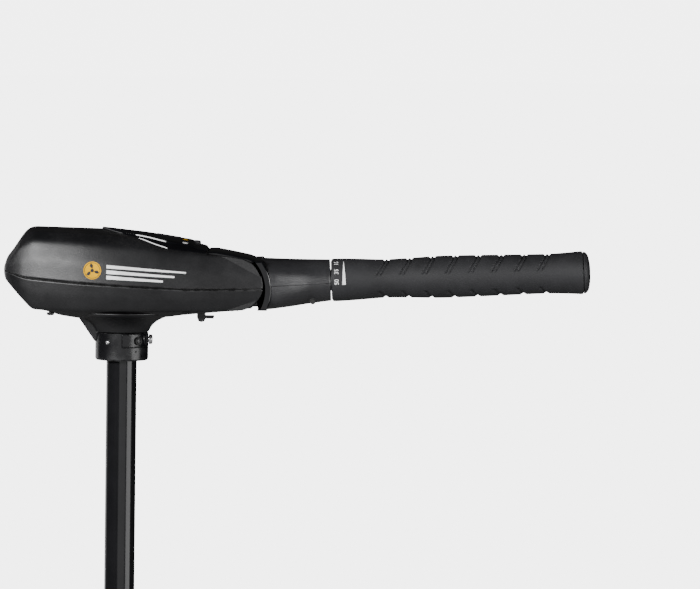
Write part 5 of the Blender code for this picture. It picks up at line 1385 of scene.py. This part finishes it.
def round_shaft(node, name, body, bore, rim, inset, middle_heights, soften):
    """A smooth tube over a casting's round middle. Its two rims are chamfered, inset by 1.4 mm at most."""
    low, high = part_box(node)
    bottom, top = low[2], high[2]
    profile = [(bore, top + 0.0001), (rim - inset, top + 0.0001), (rim, top - 0.0014)]
    profile += [(rim, z) for z in np.linspace(top - 0.01, bottom + 0.01, middle_heights)]
    profile += [(rim, bottom + 0.0014), (rim - inset, bottom - 0.0001), (bore, bottom - 0.0001)]
    how = {"at": ON_SHAFT, "sides": 128, "radius": soften, "ring": True}
    turned(name, body, BRACKET_COAT, [], profile, **how)


round_shaft("swivel_yoke", "yoke_sleeve", "yoke", 0.0184, 0.0222, 0.0012, 8, 0.0006)
round_shaft("depth_collar", "depth_ring", "depth_stop", 0.0140, 0.0242, 0.0014, 0, 0.0008)

# %% Bushes and the hinge pin
for node, flange_up in (("steering_bush_upper", True), ("steering_bush_lower", False)):
    low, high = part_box(node)
    near, far = (high[2], low[2]) if flange_up else (low[2], high[2])
    step = -0.0021 if flange_up else 0.0021
    bush = [(0.0139, near), (0.0232, near), (0.0236, near + step * 0.5), (0.0234, near + step)]
    bush += [(0.0180, near + step), (0.0180, far), (0.0139, far)]
    how = {"at": ON_SHAFT, "sides": 128, "radius": 0.0003, "ring": True}
    turned(f"{node}_turned", "yoke", BUSH_NYLON, [node], bush, **how)
low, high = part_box("hinge_pin")
PIN_HALF = ((0.0, 0.0), (0.0066, 0.0003), (0.0080, 0.0014), (0.0080, 0.0028), (0.0050, 0.0030))
pin = [(r, high[1] - h) for r, h in PIN_HALF] + [(r, low[1] + h) for r, h in PIN_HALF[::-1]]
how = {"sides": 72, "radius": 0.0003}
turned("tilt_hinge_pin", "bracket", STEEL_Y, ["hinge_pin"], pin, "Y", (HINGE[0], 0, HINGE[2]), **how)


# %% Hand knobs with lobes
KNOB_FACE = (
    (0.0, 0.0012), (0.0072, 0.0010), (0.0080, 0.0), (0.0118, 0.0001), (0.0134, 0.0016), (0.0137, 0.0060),
)
KNOB_BACK = ((0.0131, 0.0110), (0.0125, 0.0145), (0.0112, 0.0160), (0.0074, 0.0164), (0.0070, 0.0198))


def lobes(angle, r, h):
    """Six soft lobes: the radius is R + a cos(6 angle) on the knob, and R on its neck."""
    return r + np.where(r > 0.0100, 0.0015 * np.cos(6 * angle), 0.0)


def hand_knob(node, body, name):
    low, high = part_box(node)
    length = high[1] - low[1]
    stem = [(0.0030, 0.0199), (0.0030, length - 0.0004), (0.0026, length), (0.0, length)]
    at = ((low[0] + high[0]) / 2, low[1], (low[2] + high[2]) / 2)
    how = {"sharp": 45.0, "sides": 144, "radius": 0.0009, "shape": lobes}
    turned(name, body, KNOB_NYLON, [node], [*KNOB_FACE, *KNOB_BACK, *stem], "Y", at, **how)


hand_knob("tension_knob", "steer_tension_knob", "steer_tension_grip")
hand_knob("collar_knob", "depth_knob", "depth_ring_grip")


# %% Clamp screws, pads and wing knobs
def winged(angle, r, h):
    """r holds a share of the full outline, which joins a round hub and a rounded bar by their 8th powers."""
    c, s = np.abs(np.cos(angle)), np.abs(np.sin(angle))
    bar = ((c / 0.0303) ** 6 + (s / 0.0062) ** 6) ** (-1 / 6)
    full = (bar**8 + 0.0104**8) ** (1 / 8)
    return r * full


def threaded(angle, r, h):
    """A right-handed thread of 2.5 mm lead: the depth goes round with the angle and along with h."""
    wave = 0.5 - 0.5 * np.cos(angle - 2 * np.pi * h / 0.0025)
    return r - np.where(r > 0.0050, 0.0007 * wave, 0.0)


PAD_RIM = ((0.0, 0.0), (0.0148, 0.0), (0.0160, 0.0008), (0.0160, 0.0032), (0.0148, 0.0040))
KNOB_START = ((0.60, 0.0), (0.86, 0.0010), (0.97, 0.0040), (1.0, 0.0090))
KNOB_END = ((0.99, 0.0060), (0.93, 0.0020), (0.80, 0.0002), (0.45, 0.0001), (0.40, 0.0010), (0.0, 0.0012))
for tag in ("left", "right"):
    low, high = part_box(f"clamp_screw_{tag}")
    at = (0.0, (low[1] + high[1]) / 2, (low[2] + high[2]) / 2)
    along = np.arange(low[0] + 0.0030, high[0] - 0.0150, 0.00025)
    profile = [(0.0, low[0]), (0.0035, low[0]), (0.0056, low[0] + 0.0028), *[(0.0058, x) for x in along]]
    profile += [(0.0045, high[0] - 0.0145), (0.0045, high[0]), (0.0, high[0])]
    how = {"sharp": 60.0, "sides": 40, "shape": threaded}
    turned(f"clamp_thread_{tag}", f"screw_{tag}", STEEL_X, [f"clamp_screw_{tag}"], profile, "X", at, **how)
    low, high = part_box(f"clamp_pad_{tag}")
    profile = [(r, low[0] + x) for r, x in PAD_RIM] + [
        (0.0090, high[0] - 0.0004), (0.0084, high[0]), (0.0, high[0]),
    ]
    turned(f"swivel_pad_{tag}", f"pad_{tag}", PAD_RUBBER, [f"clamp_pad_{tag}"], profile, "X", at, radius=0.0006)
    low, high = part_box(f"clamp_knob_{tag}")
    profile = [(r, low[0] + x) for r, x in KNOB_START] + [(r, high[0] - x) for r, x in KNOB_END]
    how = {"sharp": 50.0, "sides": 192, "radius": 0.08, "shape": winged}
    turned(f"wing_knob_{tag}", f"screw_{tag}", KNOB_NYLON, [f"clamp_knob_{tag}"], profile, "X", at, **how)

# %% [markdown]
# ## Inside the closed shells
#
# The motor's and the head's inner pieces can't be seen when it is shut, but they are real pieces. They
# keep their plain shapes and get their own finishes.

# %% Finish the inner pieces
INNER = {
    "control_board": BOARD_GREEN,
    "heat_sink": ALUMINIUM,
    "tiller_pin": STEEL_Y,
    "magnet_upper": FERRITE,
    "magnet_lower": FERRITE,
    "brush_plate": BUSH_NYLON,
    "front_bearing": STEEL_X,
    "rear_bearing": STEEL_X,
    "shaft_seal": GRIP_RUBBER,
    "lead_red": WIRE_RED,
    "lead_black": WIRE_BLACK,
    "armature": COPPER,
    "commutator": COPPER,
    "drive_pin": STEEL_Y,
    "potentiometer": STEEL_X,
    "tube_bush": BUSH_NYLON,
}
for node, look in INNER.items():
    for material_slot in frame["nodes"][node].material_slots:
        material_slot.material = look
print("inner pieces finished:", len(INNER))

# %% [markdown]
# ## Numbers on the grip
#
# White numbers round the grip's collar say how fast the motor turns. They are plain text made a mesh, then
# bent round the grip. They read along the circumference, and a wedge that widens shows which way is more.


# %% Bend marks round the grip
NUMBER_R, NUMBER_LIFT, NUMBER_X, WEDGE_X = 0.0191, 0.0003, 0.1008, 0.1072


def round_the_grip(points):
    """x stays along the grip, y is an arc length up from the near side, z is a lift off the rubber."""
    x, up, lift = points[..., :1], points[..., 1:2], points[..., 2:]
    r = np.interp(x, *GRIP_LINE) - 0.0002 + lift
    turn = up / NUMBER_R
    return in_tiller(np.concatenate([x, -r * np.cos(turn), GRIP_AXIS + r * np.sin(turn)], -1))


def digits(text, size):
    """The outline of a short text filled as a mesh, centred on nothing, in its own plane."""
    curve = bpy.data.curves.new("digits", "FONT")
    curve.body = text
    curve.size = size
    curve.align_x = "CENTER"
    curve.align_y = "CENTER"
    curve.resolution_u = 6
    holder = bpy.data.objects.new("digits", curve)
    mesh = bpy.data.meshes.new_from_object(holder)
    points = np.empty(len(mesh.vertices) * 3)
    mesh.vertices.foreach_get("co", points)
    faces = [list(face.vertices) for face in mesh.polygons]
    bpy.data.objects.remove(holder)
    return points.reshape(-1, 3), faces


number_parts = []
for text, degrees in (("50", -2), ("35", 26), ("15", 54)):
    points, faces = digits(text, 0.0052)
    x, up = NUMBER_X - points[:, 1], points[:, 0] + NUMBER_R * math.radians(degrees)
    number_parts.append((round_the_grip(np.stack([x, up, points[:, 2] + NUMBER_LIFT], -1)), faces))
wedge_u = np.linspace(math.radians(-10), math.radians(62), 40) * NUMBER_R
wedge_half = 0.0016 * np.linspace(1.0, 0.08, 40)
left, right = (np.stack([WEDGE_X + way * wedge_half, wedge_u, np.full(40, NUMBER_LIFT)], -1) for way in (-1, 1))
number_parts.append((round_the_grip(np.stack([left, (left + right) / 2, right], 1)), grid_quads(40, 3)))
grip_middle = in_tiller(np.array([0.104, 0.0, GRIP_AXIS]))
numbers = piece("speed_numbers", number_parts, 60.0, inside=grip_middle)
finish_piece(numbers, "grip", MARK_WHITE)

# %% A screw well in the arm's side: a small dark cup, painted shade for its recess
arm_well = [(0.0, -0.0004), (0.0019, -0.0004), (0.0022, 0.0006), (0.0026, 0.0007)]
well_at = (0.0790, -0.0208, -0.0138)
turned("arm_screw_well", "tiller_arm", PAINTED_SHADE_AND_PRINT, [], arm_well, "Y", well_at, place=in_tiller, sides=32)

# %% [markdown]
# ## Camera, light and floor
#
# The view is from the near side, a little above, with a long lens so that the head is hardly distorted.
# Six soft lights stand round it: the strong key up on the left, wide weak ones in front and on the right, a
# small one for the tiller, a strip for the left edges and one behind. The floor is plain and pale. The
# motor hangs from its clamp, so the floor lies just under the fin at the shaft's lowest setting.

# %% Place the camera
scene = bpy.context.scene
camera_data = bpy.data.cameras.new("camera")
camera_data.lens = 240.0
camera_data.sensor_width = 36.0
camera = bpy.data.objects.new("camera", camera_data)
scene.collection.objects.link(camera)
scene.camera = camera
TARGET = Vector((0.1306, 0.0, 0.3957))
ELEVATION, ROLL, DISTANCE = math.radians(4.0), math.radians(0.81), 4.153
back = Vector((0.0, -math.cos(ELEVATION), math.sin(ELEVATION)))
camera.location = TARGET + back * DISTANCE
camera.rotation_mode = "QUATERNION"
camera.rotation_quaternion = (-back).to_track_quat("-Z", "Y") @ Matrix.Rotation(ROLL, 3, "Z").to_quaternion()
camera_data.clip_start, camera_data.clip_end = 0.05, 60.0

# %% Light it softly


def soft_light(name, azimuth, elevation, distance, size, power, aim=(0.0, 0.0, 0.30)):
    """A soft box that looks at the object. Azimuth 0 is on the near side and 90 on the right."""
    a, e = math.radians(azimuth), math.radians(elevation)
    away = Vector((math.sin(a) * math.cos(e), -math.cos(a) * math.cos(e), math.sin(e)))
    data = bpy.data.lights.new(name, "AREA")
    data.shape = "RECTANGLE"
    data.size, data.size_y = size
    data.energy = power
    light = bpy.data.objects.new(name, data)
    scene.collection.objects.link(light)
    light.location = Vector(aim) + away * distance
    light.rotation_mode = "QUATERNION"
    light.rotation_quaternion = (-away).to_track_quat("-Z", "Y")
    light.visible_camera = False


soft_light("key", -35, 17, 2.6, (1.5, 0.6), 115.0)
soft_light("front", 12, -2, 2.6, (2.6, 1.1), 7.0, (0.0, 0.0, 0.2))
soft_light("side", 66, 0, 2.6, (1.8, 1.2), 22.0, (0.0, 0.0, 0.2))
soft_light("arm", 46, 8, 1.0, (0.5, 0.25), 6.0, (0.3, 0.0, 0.43))
soft_light("left_edge", -76, 20, 2.6, (1.7, 0.5), 14.0)
soft_light("behind", 222, 6, 2.8, (1.6, 1.2), 7.0, (0.0, 0.0, 0.0))


def seen_only(tree, bright, dim):
    """A strength that is bright where the backdrop is looked at directly, and dim as a light."""
    directly = tree.nodes.new("ShaderNodeLightPath").outputs["Is Camera Ray"]
    return stretch(tree, directly, 0.0, 1.0, dim, bright)


world = bpy.data.worlds.new("studio")
scene.world = world
world.use_nodes = True
sky = world.node_tree.nodes["Background"]
sky.inputs["Color"].default_value = (1.0, 1.0, 1.0, 1.0)
world.node_tree.links.new(seen_only(world.node_tree, 5.0, 0.015), sky.inputs["Strength"])

# %% Lay the floor
floor_z = float(cad_low[2]) + JOINTS["depth"]["range_m"][0] - 0.002
angle = np.linspace(0, 2 * np.pi, 96, endpoint=False)[None, :]
radius = (np.linspace(0.0, 1.0, 12) ** 2 * 60.0)[:, None]
floor_points = np.stack([radius * np.cos(angle), radius * np.sin(angle), np.full((12, 96), floor_z)], -1)
floor = piece("studio_floor", [(floor_points, grid_quads(12, 96, False, True))], inside=(0, 0, floor_z - 1))
floor_look = bpy.data.materials.new("floor_pale")
floor_look.use_nodes = True
floor_shader = floor_look.node_tree.nodes["Principled BSDF"]
floor_shader.inputs["Base Color"].default_value = (0.30, 0.30, 0.30, 1.0)
floor_shader.inputs["Roughness"].default_value = 0.8
floor_shader.inputs["Emission Color"].default_value = (1.0, 1.0, 1.0, 1.0)
glow = seen_only(floor_look.node_tree, 4.9, 0.0)
floor_look.node_tree.links.new(glow, floor_shader.inputs["Emission Strength"])
floor.data.materials.append(floor_look)
